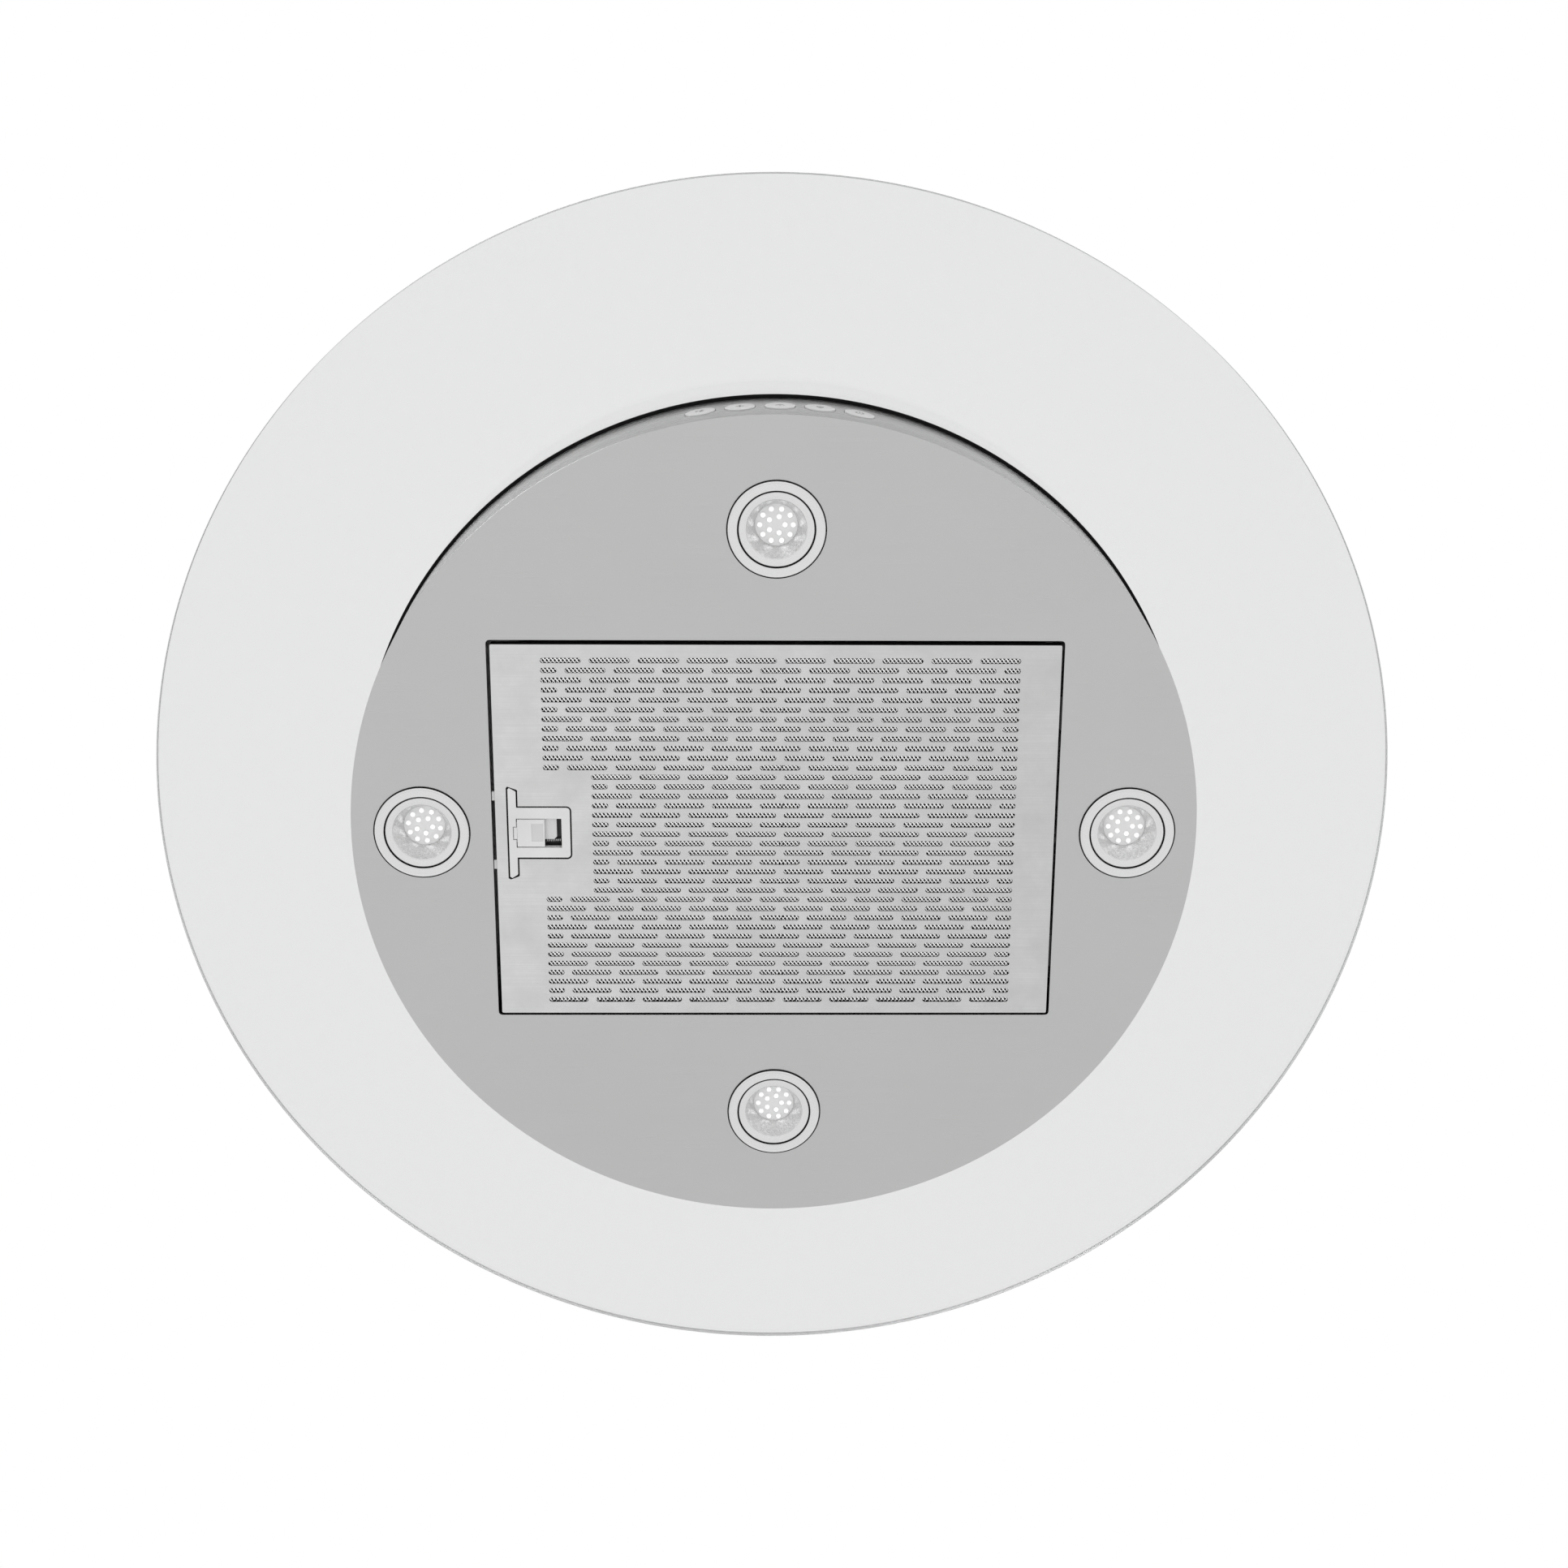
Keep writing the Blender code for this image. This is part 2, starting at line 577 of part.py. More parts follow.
# ---------------------------------------------------------------- frames and chimney
def l_outline(corner, leg, x_side, y_side):
    """L-shaped post section whose outer corner lies at (corner, corner) of its quarter."""
    inner = corner - POST_SHEET
    points = [(corner, corner), (corner, corner - leg), (inner, corner - leg),
              (inner, inner), (corner - leg, inner), (corner - leg, corner)]
    return [(x_side * x, y_side * y) for x, y in points]


def posts(section, low, high):
    quarters = ((1, 1), (-1, 1), (-1, -1), (1, -1))
    return [extruded("post", [l_outline(*section, *quarter)], low, high)
            for quarter in quarters]


def make_lower_frame(foot):
    top = foot + 0.003
    holes = [circle(0.0043, place, 16) for place in CLAMP_BOLTS]
    outlines = [circle(0.1460, sides=MEDIUM), centred(DUCT_WAY)] + holes
    frame = extruded("lower_frame", outlines, foot, top, "galvanised")
    join(frame, *posts(LOWER_POST, top - 0.001, LOWER_POST_TOP))
    return top


def make_upper_frame():
    plate_low = OVERALL_HEIGHT - 0.003
    flange = (plate_low - GAP - 0.003, plate_low - GAP)
    hole = circle(CEILING_HOLE_RADIUS + 0.003, sides=MEDIUM)
    frame = extruded("upper_frame", [circle(0.1430, sides=MEDIUM), hole], *flange,
                     "galvanised")
    join(frame, *posts(UPPER_POST, UPPER_POST_FOOT, flange[0] + 0.001))
    screw_holes = [circle(0.0035, (0.112 * cos(a), 0.112 * sin(a)), 12)
                   for a in (0, pi / 2, pi, 3 * pi / 2)]
    outlines = [circle(0.1458, sides=MEDIUM), circle(CEILING_HOLE_RADIUS, sides=MEDIUM)]
    extruded("ceiling_plate", outlines + screw_holes, plate_low, OVERALL_HEIGHT, "galvanised")


def make_covers():
    ring("lower_cover", COVER_RADIUS - COVER_SHEET, COVER_RADIUS, *LOWER_COVER_HEIGHTS,
         "brushed_steel")
    outer = COVER_RADIUS - COVER_SHEET - 0.0013
    ring("upper_cover", outer - COVER_SHEET, outer, *UPPER_COVER_HEIGHTS, "brushed_steel")


# ---------------------------------------------------------------- blower
ALONG_X = (pi / 2, 0, pi / 2)    # turns X, Y, Z into Y, Z, X
SCROLL_PLACE = (0, *SCROLL_CENTRE)


def make_blower_box():
    low, high = BLOWER_BOX_HEIGHTS
    inner = (BLOWER_BOX[0] - 2 * SHEET, BLOWER_BOX[1] - 2 * SHEET)
    extruded("blower_box", [centred(BLOWER_BOX), centred(inner)], low, high, "galvanised")
    mouth = rectangle(-SCROLL_HALF_WIDTH - GAP, SCROLL_HALF_WIDTH + GAP, -0.018, 0.070)
    extruded("box_lid", [centred(BLOWER_BOX), mouth], high + GAP, high + GAP + SHEET,
             "galvanised")


def scroll_outline(spread, top):
    """Fan casing seen along its axis: a growing spiral from the tongue to the outlet."""
    steps = 24
    points = []
    for i in range(steps + 1):
        part = i / steps
        angle = SCROLL_TONGUE + part * (2 * pi - SCROLL_TONGUE)
        radius = SCROLL_RADII[0] + part * (SCROLL_RADII[1] - SCROLL_RADII[0]) + spread
        points.append((radius * cos(angle), radius * sin(angle)))
    points.append((SCROLL_RADII[1] + spread, top))
    points.append((points[0][0] - 2 * spread, top))
    return points


def make_blower_housing():
    half, top = SCROLL_HALF_WIDTH, BLOWER_BOX_HEIGHTS[1] - SCROLL_CENTRE[1]
    how = {"place": SCROLL_PLACE, "turn": ALONG_X}
    housing = extruded("blower_housing", [scroll_outline(SCROLL_SHEET, top)], -half, half,
                       "galvanised", **how)
    room = extruded("scroll_room", [scroll_outline(0, top + 0.010)],
                    SCROLL_SHEET - half, half - SCROLL_SHEET, **how)
    inlets = cylinder("inlets", INLET_RADIUS, -half - 0.005, half + 0.005, **how)
    cut(housing, room, inlets)


def make_impeller(axis):
    """Double-inlet wheel: a hub, a middle disc and two drums cut into blades."""
    outer, inner, half = IMPELLER_RADIUS, IMPELLER_RADIUS - 0.008, IMPELLER_HALF_WIDTH
    bore, hub, disc = SHAFT_RADIUS + GAP, 0.012, 0.001
    profile = [(outer, half), (outer, -half), (inner, -half), (inner, -disc), (hub, -disc),
               (hub, -0.008), (bore, -0.008), (bore, 0.008), (hub, 0.008), (hub, disc),
               (inner, disc), (inner, half)]
    wheel = turned("impeller", profile, "galvanised", 2 * BLADES, parent=axis, turn=ALONG_X)
    for low, high in ((-half + 0.003, -0.003), (0.003, half - 0.003)):
        gaps = bmesh.new()
        for i in range(BLADES):
            add_blade_gap(gaps, 2 * pi * (i + 0.5) / BLADES, low, high)
        cutter = new_piece("blade_gaps", finished("blade_gaps", gaps), parent=axis,
                           turn=ALONG_X)
        cut(wheel, cutter)


def add_blade_gap(shape, angle, low, high):
    """One block between two blades, added to the mesh that cuts the wheel."""
    made = bmesh.ops.create_cube(shape, size=1.0)["verts"]
    reach = IMPELLER_RADIUS - 0.004
    for vertex in made:
        x, y, z = vertex.co
        radial, across, along = reach + x * 0.016, y * 0.013, (low + high) / 2 + z * (high - low)
        vertex.co = (radial * cos(angle) - across * sin(angle),
                     radial * sin(angle) + across * cos(angle), along)


def make_motor(axis):
    motor_end = -SCROLL_HALF_WIDTH
    profile = [(0.038, -0.010), (0.038, motor_end), (SHAFT_RADIUS + GAP, motor_end),
               (SHAFT_RADIUS + GAP, -0.010)]
    turned("motor", profile, "galvanised", COARSE, place=SCROLL_PLACE, turn=ALONG_X)
    shaft = cylinder("motor_shaft", SHAFT_RADIUS, -0.050, 0.009, "polished_steel", 16,
                     parent=axis, turn=ALONG_X)
    smooth(shaft)
    bracket_top = motor_end - GAP
    extruded("motor_bracket", [spider_outline(0.030, 0.062, 0.007, 3), circle(0.007, sides=16)],
             bracket_top - 0.0015, bracket_top, "galvanised", place=SCROLL_PLACE,
             turn=ALONG_X)


def spider_outline(hub, reach, half_arm, arms):
    """Round hub with straight arms, starting at the side of the first arm."""
    spread = atan2(half_arm, sqrt(hub ** 2 - half_arm ** 2))
    points = []
    for i in range(arms):
        angle = 2 * pi * i / arms
        for across in (-half_arm, half_arm):
            points.append((reach * cos(angle) - across * sin(angle),
                           reach * sin(angle) + across * cos(angle)))
        points += arc(hub, angle + spread, angle + 2 * pi / arms - spread, 8)
    return points


def make_capacitor():
    cylinder("capacitor", 0.012, 0.270, 0.320, "grey_plastic", 24, place=(0.0595, -0.070, 0))


def make_outlet():
    """Duct collar on the box lid, held by a flat flange, with the pin of its flaps."""
    low, high = COLLAR_HEIGHTS
    bore = COLLAR_RADIUS - COLLAR_WALL
    ring("collar_flange", bore, COLLAR_RADIUS + 0.020, low + GAP, low + 0.003, "galvanised")
    ring("outlet_collar", bore, COLLAR_RADIUS, low + 0.003 + GAP, high, "black_plastic")
    reach = bore - 2 * GAP
    pin = cylinder("damper_pin", DAMPER_PIN_RADIUS, -reach, reach, "polished_steel", 16,
                   place=(0, 0, DAMPER_PIN_HEIGHT), turn=(0, pi / 2, 0))
    smooth(pin)


def make_damper_flap(name, side, knuckles):
    """Half of a round flap, lying flat, with knuckles that turn on the pin."""
    pivot = empty(name + "_axis", (0, 0, DAMPER_PIN_HEIGHT), datum)
    reach, near, half = COLLAR_RADIUS - COLLAR_WALL - 0.0012, 0.0048, 0.0007
    start = acos(near / reach)
    outline = arc(reach, pi / 2 - start, pi / 2 + start, 16)
    outline = [(side * x, side * y) for x, y in outline]
    flap = extruded(name, [outline], -half, half, "galvanised", parent=pivot)
    for low, high in knuckles:
        knuckle = cylinder("knuckle", 0.0045, low, high, sides=16, parent=pivot,
                           turn=(0, pi / 2, 0))
        web = box("knuckle_web", (low, min(side * 0.0032, side * 0.0062), -half),
                  (high, max(side * 0.0032, side * 0.0062), half), parent=pivot)
        join(flap, knuckle, web)
    bore = cylinder("knuckle_bore", DAMPER_PIN_RADIUS + GAP, -reach, reach, sides=16,
                    parent=pivot, turn=(0, pi / 2, 0))
    cut(flap, bore)


# ---------------------------------------------------------------- assembly
def make_hood():
    make_bottom_plate()
    make_drum_wall()
    deck_top = make_top_deck()
    deck_under = deck_top - SHEET
    frame_foot = make_glass_stack(deck_top)
    frame_top = make_lower_frame(frame_foot)
    make_clamp_bolts(deck_top, frame_top)

    filter_hinge = empty("filter_hinge", (FILTER_HINGE[0], 0, FILTER_HINGE[1]), datum)
    make_filter(filter_hinge)
    make_latch_housing(filter_hinge)
    make_latch_slider(filter_hinge)
    make_latch_spring(filter_hinge)

    make_lamps()
    make_buttons()
    make_button_board(deck_under)
    make_electronics(deck_under)

    make_upper_frame()
    make_covers()

    make_blower_box()
    make_blower_housing()
    fan_axis = empty("fan_axis", SCROLL_PLACE, datum)
    make_impeller(fan_axis)
    make_motor(fan_axis)
    make_capacitor()
    make_outlet()
    make_damper_flap("damper_flap_rear", 1, ((-0.050, -0.030), (0.010, 0.030)))
    make_damper_flap("damper_flap_front", -1, ((-0.025, -0.005), (0.035, 0.055)))


make_hood()
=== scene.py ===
"""Looks of the island range hood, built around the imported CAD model.

Metres, +Z up, in the CAD's frame: the ceiling is at z = 0 and the controls face -Y.
A height in this file is measured up from the underside of the body, as at() reads it.
"""
import json
from math import cos, pi, radians, sin

import bmesh
import bpy
import numpy as np
from mathutils import Matrix, Vector


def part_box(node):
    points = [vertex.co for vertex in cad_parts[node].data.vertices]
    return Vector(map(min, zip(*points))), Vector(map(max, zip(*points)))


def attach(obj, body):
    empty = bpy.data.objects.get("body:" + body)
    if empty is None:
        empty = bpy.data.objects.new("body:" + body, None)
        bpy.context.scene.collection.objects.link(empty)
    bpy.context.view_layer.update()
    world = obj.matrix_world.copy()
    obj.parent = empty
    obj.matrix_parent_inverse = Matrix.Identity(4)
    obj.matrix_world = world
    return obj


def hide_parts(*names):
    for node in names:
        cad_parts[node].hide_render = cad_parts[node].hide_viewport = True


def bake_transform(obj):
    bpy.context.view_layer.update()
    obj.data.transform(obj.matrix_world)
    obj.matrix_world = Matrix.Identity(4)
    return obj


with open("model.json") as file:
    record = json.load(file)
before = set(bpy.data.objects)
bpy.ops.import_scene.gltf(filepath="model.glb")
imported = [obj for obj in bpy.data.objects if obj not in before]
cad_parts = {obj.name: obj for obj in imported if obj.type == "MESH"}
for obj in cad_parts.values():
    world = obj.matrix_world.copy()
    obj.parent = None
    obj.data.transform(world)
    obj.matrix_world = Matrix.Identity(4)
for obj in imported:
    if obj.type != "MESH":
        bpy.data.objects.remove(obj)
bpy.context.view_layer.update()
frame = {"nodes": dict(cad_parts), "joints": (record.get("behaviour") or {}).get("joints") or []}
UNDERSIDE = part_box("bottom_plate")[0].z

ROUND = 256  # sides of the largest round pieces
SMALL_ROUND = 64
EDGE = 0.0002  # easing on sheet edges
WELD = 0.000005  # points nearer than this are made one
LEVEL = 0.9999  # a face whose normal is this upright is flat, not rounded


def at(height):
    return UNDERSIDE + height


def radius_of(node):
    low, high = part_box(node)
    return (high.x - low.x) / 2


def middle_of(node):
    low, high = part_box(node)
    return (low + high) / 2


# ---------------- outlines
def circle(radius, centre=(0, 0), sides=ROUND):
    turns = [2 * pi * i / sides for i in range(sides)]
    return [(centre[0] + radius * cos(a), centre[1] + radius * sin(a)) for a in turns]


def arc(radius, start, end, steps, centre=(0, 0)):
    """Points along an arc, both ends included."""
    turns = [start + (end - start) * i / steps for i in range(steps + 1)]
    return [(centre[0] + radius * cos(a), centre[1] + radius * sin(a)) for a in turns]


def rectangle(left, right, front, rear):
    return [(left, front), (right, front), (right, rear), (left, rear)]


def stadium(left, right, centre, height, steps=6):
    """Slot with half-round ends."""
    half = height / 2
    return (arc(half, -pi / 2, pi / 2, steps, (right - half, centre))
            + arc(half, pi / 2, 3 * pi / 2, steps, (left + half, centre)))


def eased(outline, ease, steps=3):
    """Closed outline whose corners are short curves."""
    points = []
    for before, corner, after in zip(outline[-1:] + outline[:-1], outline,
                                     outline[1:] + outline[:1]):
        corner = Vector(corner)
        arms = [Vector(other) - corner for other in (before, after)]
        start, end = [corner + arm.normalized() * min(ease, arm.length * 0.45) for arm in arms]
        for i in range(steps + 1):
            t = i / steps
            point = start * (1 - t) ** 2 + corner * (2 * t * (1 - t)) + end * t ** 2
            points.append(tuple(point))
    return points


# ---------------- meshes
def finished(name, shape):
    bmesh.ops.recalc_face_normals(shape, faces=shape.faces)
    mesh = bpy.data.meshes.new(name)
    shape.to_mesh(mesh)
    shape.free()
    return mesh


def turn_into(shape, profile, sides, place=(0, 0, 0)):
    """Add a closed (radius, height) profile, turned about Z at a place, to a mesh."""
    rings = []
    for radius, height in profile:
        count = sides if radius > 0 else 1
        turns = [2 * pi * i / sides for i in range(count)]
        rings.append([shape.verts.new((place[0] + radius * cos(a), place[1] + radius * sin(a),
                                       place[2] + height)) for a in turns])
    for ring, after in zip(rings, rings[1:] + rings[:1]):
        if len(ring) + len(after) > 2:
            for i in range(sides):
                corners = [ring[i % len(ring)], ring[(i + 1) % sides % len(ring)],
                           after[(i + 1) % sides % len(after)], after[i % len(after)]]
                shape.faces.new(dict.fromkeys(corners))


def new_object(name, data):
    made = bpy.data.objects.new(name, data)
    bpy.context.scene.collection.objects.link(made)
    return made


def turned(name, profile, sides=ROUND):
    shape = bmesh.new()
    turn_into(shape, profile, sides)
    return finished(name, shape)


def curve_mesh(name, curve):
    """Closed mesh of a curve's evaluated shape; the curve itself is removed."""
    guide = new_object(name + "_guide", curve)
    depsgraph = bpy.context.evaluated_depsgraph_get()
    mesh = bpy.data.meshes.new_from_object(guide.evaluated_get(depsgraph))
    bpy.data.objects.remove(guide)
    shape = bmesh.new()
    shape.from_mesh(mesh)
    bpy.data.meshes.remove(mesh)
    bmesh.ops.remove_doubles(shape, verts=shape.verts, dist=WELD)
    return finished(name, shape)


def new_curve(name, dimensions, lines, depth, resolution, closed):
    curve = bpy.data.curves.new(name, "CURVE")
    curve.dimensions = dimensions
    curve.bevel_depth = depth
    curve.bevel_resolution = resolution
    for line in lines:
        spline = curve.splines.new("POLY")
        spline.points.add(len(line) - 1)
        for point, place in zip(spline.points, line):
            point.co = (*place, 1)
        spline.use_cyclic_u = closed
    return curve


def sheet(name, outlines, low, high, edge=EDGE):
    """Flat sheet from height low to high with eased edges; inner outlines are holes."""
    lines = [[(x, y, 0) for x, y in outline] for outline in outlines]
    curve = new_curve(name, "2D", lines, edge, 1, True)
    curve.fill_mode = "BOTH"
    curve.extrude = (high - low) / 2 - edge
    curve.offset = -edge
    mesh = curve_mesh(name, curve)
    mesh.transform(Matrix.Translation((0, 0, (low + high) / 2)))
    return mesh


def tube(name, points, radius):
    """Round wire along a list of points."""
    curve = new_curve(name, "3D", [points], radius, 2, False)
    curve.use_fill_caps = True
    return curve_mesh(name, curve)


def block_into(shape, low, high):
    """Add an upright block between two corners to a mesh."""
    for vertex in bmesh.ops.create_cube(shape, size=1.0)["verts"]:
        vertex.co = [a + (b - a) * (v + 0.5) for a, b, v in zip(low, high, vertex.co)]


def blocks(name, corners):
    shape = bmesh.new()
    for low, high in corners:
        block_into(shape, low, high)
    return finished(name, shape)


def carved(name, mesh, operations):
    """The mesh after a row of Booleans, each given as (operation, mesh, matrix)."""
    base = new_object(name + "_base", mesh)
    tools = []
    for operation, tool, matrix in operations:
        tools.append(new_object(name + "_tool", tool))
        tools[-1].matrix_world = matrix
        boolean = base.modifiers.new(operation, "BOOLEAN")
        boolean.operation = operation
        boolean.object = tools[-1]
    bpy.context.view_layer.update()
    depsgraph = bpy.context.evaluated_depsgraph_get()
    result = bpy.data.meshes.new_from_object(base.evaluated_get(depsgraph))
    for leftover in [base, *tools]:
        bpy.data.objects.remove(leftover)
    result.name = name
    return result


def bevelled(mesh, width, segments=2, angle=30):
    """The mesh with its sharp edges eased."""
    shape = bmesh.new()
    shape.from_mesh(mesh)
    bmesh.ops.remove_doubles(shape, verts=shape.verts, dist=WELD)
    bmesh.ops.dissolve_limit(shape, angle_limit=radians(1), verts=shape.verts,
                             edges=shape.edges)
    edges = [e for e in shape.edges if e.is_manifold and e.calc_face_angle() > radians(angle)]
    bmesh.ops.bevel(shape, geom=edges, offset=width, segments=segments, profile=0.5,
                    affect="EDGES", clamp_overlap=True)
    return finished(mesh.name, shape)


def place_piece(name, mesh, skin, body, nodes=(), matrix=None, sharp=32):
    """Show a mesh as a piece that rides on a body and stands for CAD nodes."""
    piece = new_object(name, mesh)
    if matrix is not None:
        piece.matrix_world = matrix
    if not mesh.materials:
        mesh.materials.append(skin)
    mesh.shade_smooth()
    mesh.set_sharp_from_angle(angle=radians(sharp))
    for face in mesh.polygons:
        face.use_smooth = abs(face.normal.z) < LEVEL
    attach(piece, body)
    if nodes:
        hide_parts(*nodes)


# ---------------- materials
def set_input(tree, target, value):
    """Set an input to a value, or link it to another node's output."""
    if isinstance(value, bpy.types.NodeSocket):
        tree.links.new(value, target)
    else:
        target.default_value = value


def add_node(tree, kind, settings=(), **inputs):
    made = tree.nodes.new("ShaderNode" + kind)
    for name, value in dict(settings).items():
        setattr(made, name, value)
    for name, value in inputs.items():
        set_input(tree, made.inputs[name.replace("_", " ")], value)
    return made


class Skin:
    """A Principled material, with short calls for the nodes that drive it."""

    def __init__(self, name, colour, metallic=0.0, roughness=0.5, **values):
        """The colour is three channels, or one number for a grey."""
        colour = (colour,) * 3 if isinstance(colour, float) else colour
        self.material = bpy.data.materials.new(name)
        self.material.use_nodes = True
        self.tree = self.material.node_tree
        self.shader = self.tree.nodes["Principled BSDF"]
        self.colour = colour
        self.feed("Base Color", (*colour, 1.0))
        self.feed("Metallic", metallic)
        self.feed("Roughness", roughness)
        for socket, value in values.items():
            self.feed(socket.replace("_", " "), value)

    def feed(self, socket, value, node=None):
        """Set an input, by name or number, to a value or to another node's output."""
        set_input(self.tree, (node or self.shader).inputs[socket], value)

    def node(self, kind, settings=(), **inputs):
        return add_node(self.tree, kind, settings, **inputs)

    def place(self, scale=(1, 1, 1)):
        """The object's own coordinates in metres, scaled."""
        own = self.node("TexCoord").outputs["Object"]
        return self.node("Mapping", Vector=own, Scale=scale).outputs[0]

    def rings(self, along, across):
        """Coordinates that run slowly round the object's own axis and fast along its radius."""
        own = self.node("TexCoord").outputs["Object"]
        flat = self.node("Mapping", Vector=own, Scale=(1, 1, 0)).outputs[0]
        length = self.node("VectorMath", {"operation": "LENGTH"})
        self.feed(0, flat, length)
        reach = self.node("CombineXYZ", Z=length.outputs["Value"]).outputs[0]
        fast = self.node("Mapping", Vector=reach, Scale=(1, 1, across)).outputs[0]
        slow = self.node("Mapping", Vector=own, Scale=(along, along, 1)).outputs[0]
        both = self.node("VectorMath", {"operation": "ADD"})
        self.feed(0, slow, both)
        self.feed(1, fast, both)
        return both.outputs[0]

    def noise(self, vector, scale=1.0, detail=2.0, roughness=0.5):
        return self.node("TexNoise", Vector=vector, Scale=scale, Detail=detail,
                         Roughness=roughness).outputs[0]

    def spread(self, value, low, high, span=(0.3, 0.7)):
        """The part of a value that lies in span, stretched to run from low to high."""
        return self.node("MapRange", Value=value, From_Min=span[0], From_Max=span[1],
                         To_Min=low, To_Max=high).outputs[0]

    def blend(self, factor, first, second):
        mix = self.node("Mix", {"data_type": "RGBA"})
        self.feed(0, factor, mix)
        for number, colour in ((6, first), (7, second)):
            self.feed(number, colour if isinstance(colour, bpy.types.NodeSocket)
                      else (*colour, 1.0), mix)
        return mix.outputs[2]

    def shade(self, share):
        """The skin's own colour made lighter or darker."""
        return tuple(min(1.0, channel * share) for channel in self.colour)

    def relief(self, height, distance):
        bump = self.node("Bump", Height=height, Strength=1.0, Distance=distance)
        self.feed("Normal", bump.outputs[0])


SCRATCHES = 1600  # brushing lines in a metre
STREAK = 9  # how often a line changes along its length, in a metre
RING_STREAK, RING_SCRATCHES = 60, 3000  # the same for brushing in rings
PAINTED_SHADE_ACROSS = (-0.197, 0.198)  # left and right edge of the filter, in metres, where its painted shade starts and ends


def brushed(name, colour, roughness, way, contrast=0.05, smudge=0.05, depth=0.000004,
            cloud=11, painted_shade=0.0):
    """Satin metal: long fine scratches one way, under soft cloudy smudges.

    With the last argument, a painted shade darkens the tone by that share from the filter's left
    edge to its right edge.
    """
    skin = Skin(name, colour, 1.0, roughness)
    ways = {"x": (STREAK, SCRATCHES, SCRATCHES), "z": (SCRATCHES, SCRATCHES, STREAK),
            "around": (STREAK, STREAK, SCRATCHES)}
    lines = (skin.rings(RING_STREAK, RING_SCRATCHES) if way == "rings"
             else skin.place(ways[way]))
    scratches = skin.noise(lines, detail=3, roughness=0.65)
    clouds = skin.noise(skin.place(), scale=cloud, detail=6, roughness=0.65)
    metal = skin.blend(skin.spread(scratches, 0, 1), skin.shade(1 - contrast),
                       skin.shade(1 + contrast))
    metal = skin.blend(skin.spread(clouds, 0, 1), metal, skin.shade(1 - smudge))
    # painted shade: the filter darker towards its right edge
    if painted_shade:
        across = skin.node("SeparateXYZ", Vector=skin.place()).outputs["X"]
        metal = skin.blend(skin.spread(across, 0, painted_shade, PAINTED_SHADE_ACROSS), metal, skin.shade(0))
    skin.feed("Base Color", metal)
    skin.feed("Roughness", skin.spread(scratches, roughness * 0.8, roughness * 1.25))
    skin.relief(scratches, depth)
    return skin.material


def zinc_sheet(name, colour, roughness=0.42):
    """Hot-dip zinc: crystal flowers, each with its own tone and gloss."""
    skin = Skin(name, colour, 1.0, roughness)
    bent = skin.node("VectorMath", {"operation": "ADD"})
    skin.feed(0, skin.place((110, 110, 110)), bent)
    warp = skin.node("TexNoise", Vector=skin.place(), Scale=240.0, Detail=2.0)
    skin.feed(1, warp.outputs["Color"], bent)
    flowers = skin.node("TexVoronoi", Vector=bent.outputs[0], Scale=1.0)
    tone = skin.node("SeparateColor", Color=flowers.outputs["Color"]).outputs[0]
    grain = skin.noise(skin.place(), scale=900, detail=3)
    metal = skin.blend(tone, skin.shade(0.84), skin.shade(1.1))
    skin.feed("Base Color", skin.blend(skin.spread(grain, 0, 0.35), metal, skin.shade(0.8)))
    skin.feed("Roughness", skin.spread(tone, roughness - 0.1, roughness + 0.1, (0, 1)))
    skin.relief(grain, 0.00001)
    return skin.material


def bright_metal(name, colour, roughness):
    """Turned or drawn metal with faint clouds and fine handling marks."""
    skin = Skin(name, colour, 1.0, roughness)
    clouds = skin.noise(skin.place(), scale=60, detail=3)
    marks = skin.noise(skin.place((300, 2500, 900)), detail=2)
    skin.feed("Base Color", skin.blend(skin.spread(clouds, 0, 1), skin.shade(0.94),
                                       skin.shade(1.03)))
    skin.feed("Roughness", skin.spread(marks, roughness * 0.7, roughness * 1.4))
    skin.relief(marks, 0.000002)
    return skin.material


def inner_mesh(name, colour):
    """Layers of finer mesh, near black as painted shade for the dark behind the front mesh:
    crossed slanting strands with holes between them.
    """
    skin = Skin(name, colour, 1.0, 0.5)
    flows = [skin.node("TexWave", {"bands_direction": "X"}, Scale=180.0, Vector=skin.node(
        "Mapping", Vector=skin.place(), Rotation=(0, 0, turn)).outputs[0]).outputs["Fac"]
        for turn in (radians(35), radians(-35))]
    strand = skin.node("Math", {"operation": "MAXIMUM"})
    for number, flow in enumerate(flows):
        skin.feed(number, flow, strand)
    skin.feed("Base Color", skin.blend(skin.spread(strand.outputs[0], 0, 1, (0.5, 0.9)),
                                       skin.shade(0.1), skin.colour))
    skin.relief(strand.outputs[0], 0.0003)
    return skin.material


def moulded(name, colour, roughness, grain=2600, depth=0.000012, **values):
    """Moulded plastic, rubber or enamel: a fine grained surface with a little unevenness."""
    skin = Skin(name, colour, 0.0, roughness, **values)
    texture = skin.noise(skin.place(), scale=grain, detail=2)
    clouds = skin.noise(skin.place(), scale=35, detail=3)
    skin.feed("Base Color", skin.blend(skin.spread(clouds, 0, 1), skin.shade(0.95),
                                       skin.shade(1.04)))
    skin.feed("Roughness", skin.spread(texture, roughness * 0.85, roughness * 1.15))
    skin.relief(texture, depth)
    return skin.material


def clear_glass(name, tint, roughness=0.0, haze=0.012):
    """Solid glass with the faint haze that a wiped sheet keeps."""
    skin = Skin(name, tint, 0.0, roughness, Transmission_Weight=1.0, IOR=1.5)
    wipes = skin.noise(skin.place((7, 3, 5)), detail=3)
    skin.feed("Roughness", skin.spread(wipes, roughness, roughness + haze))
    return skin.material


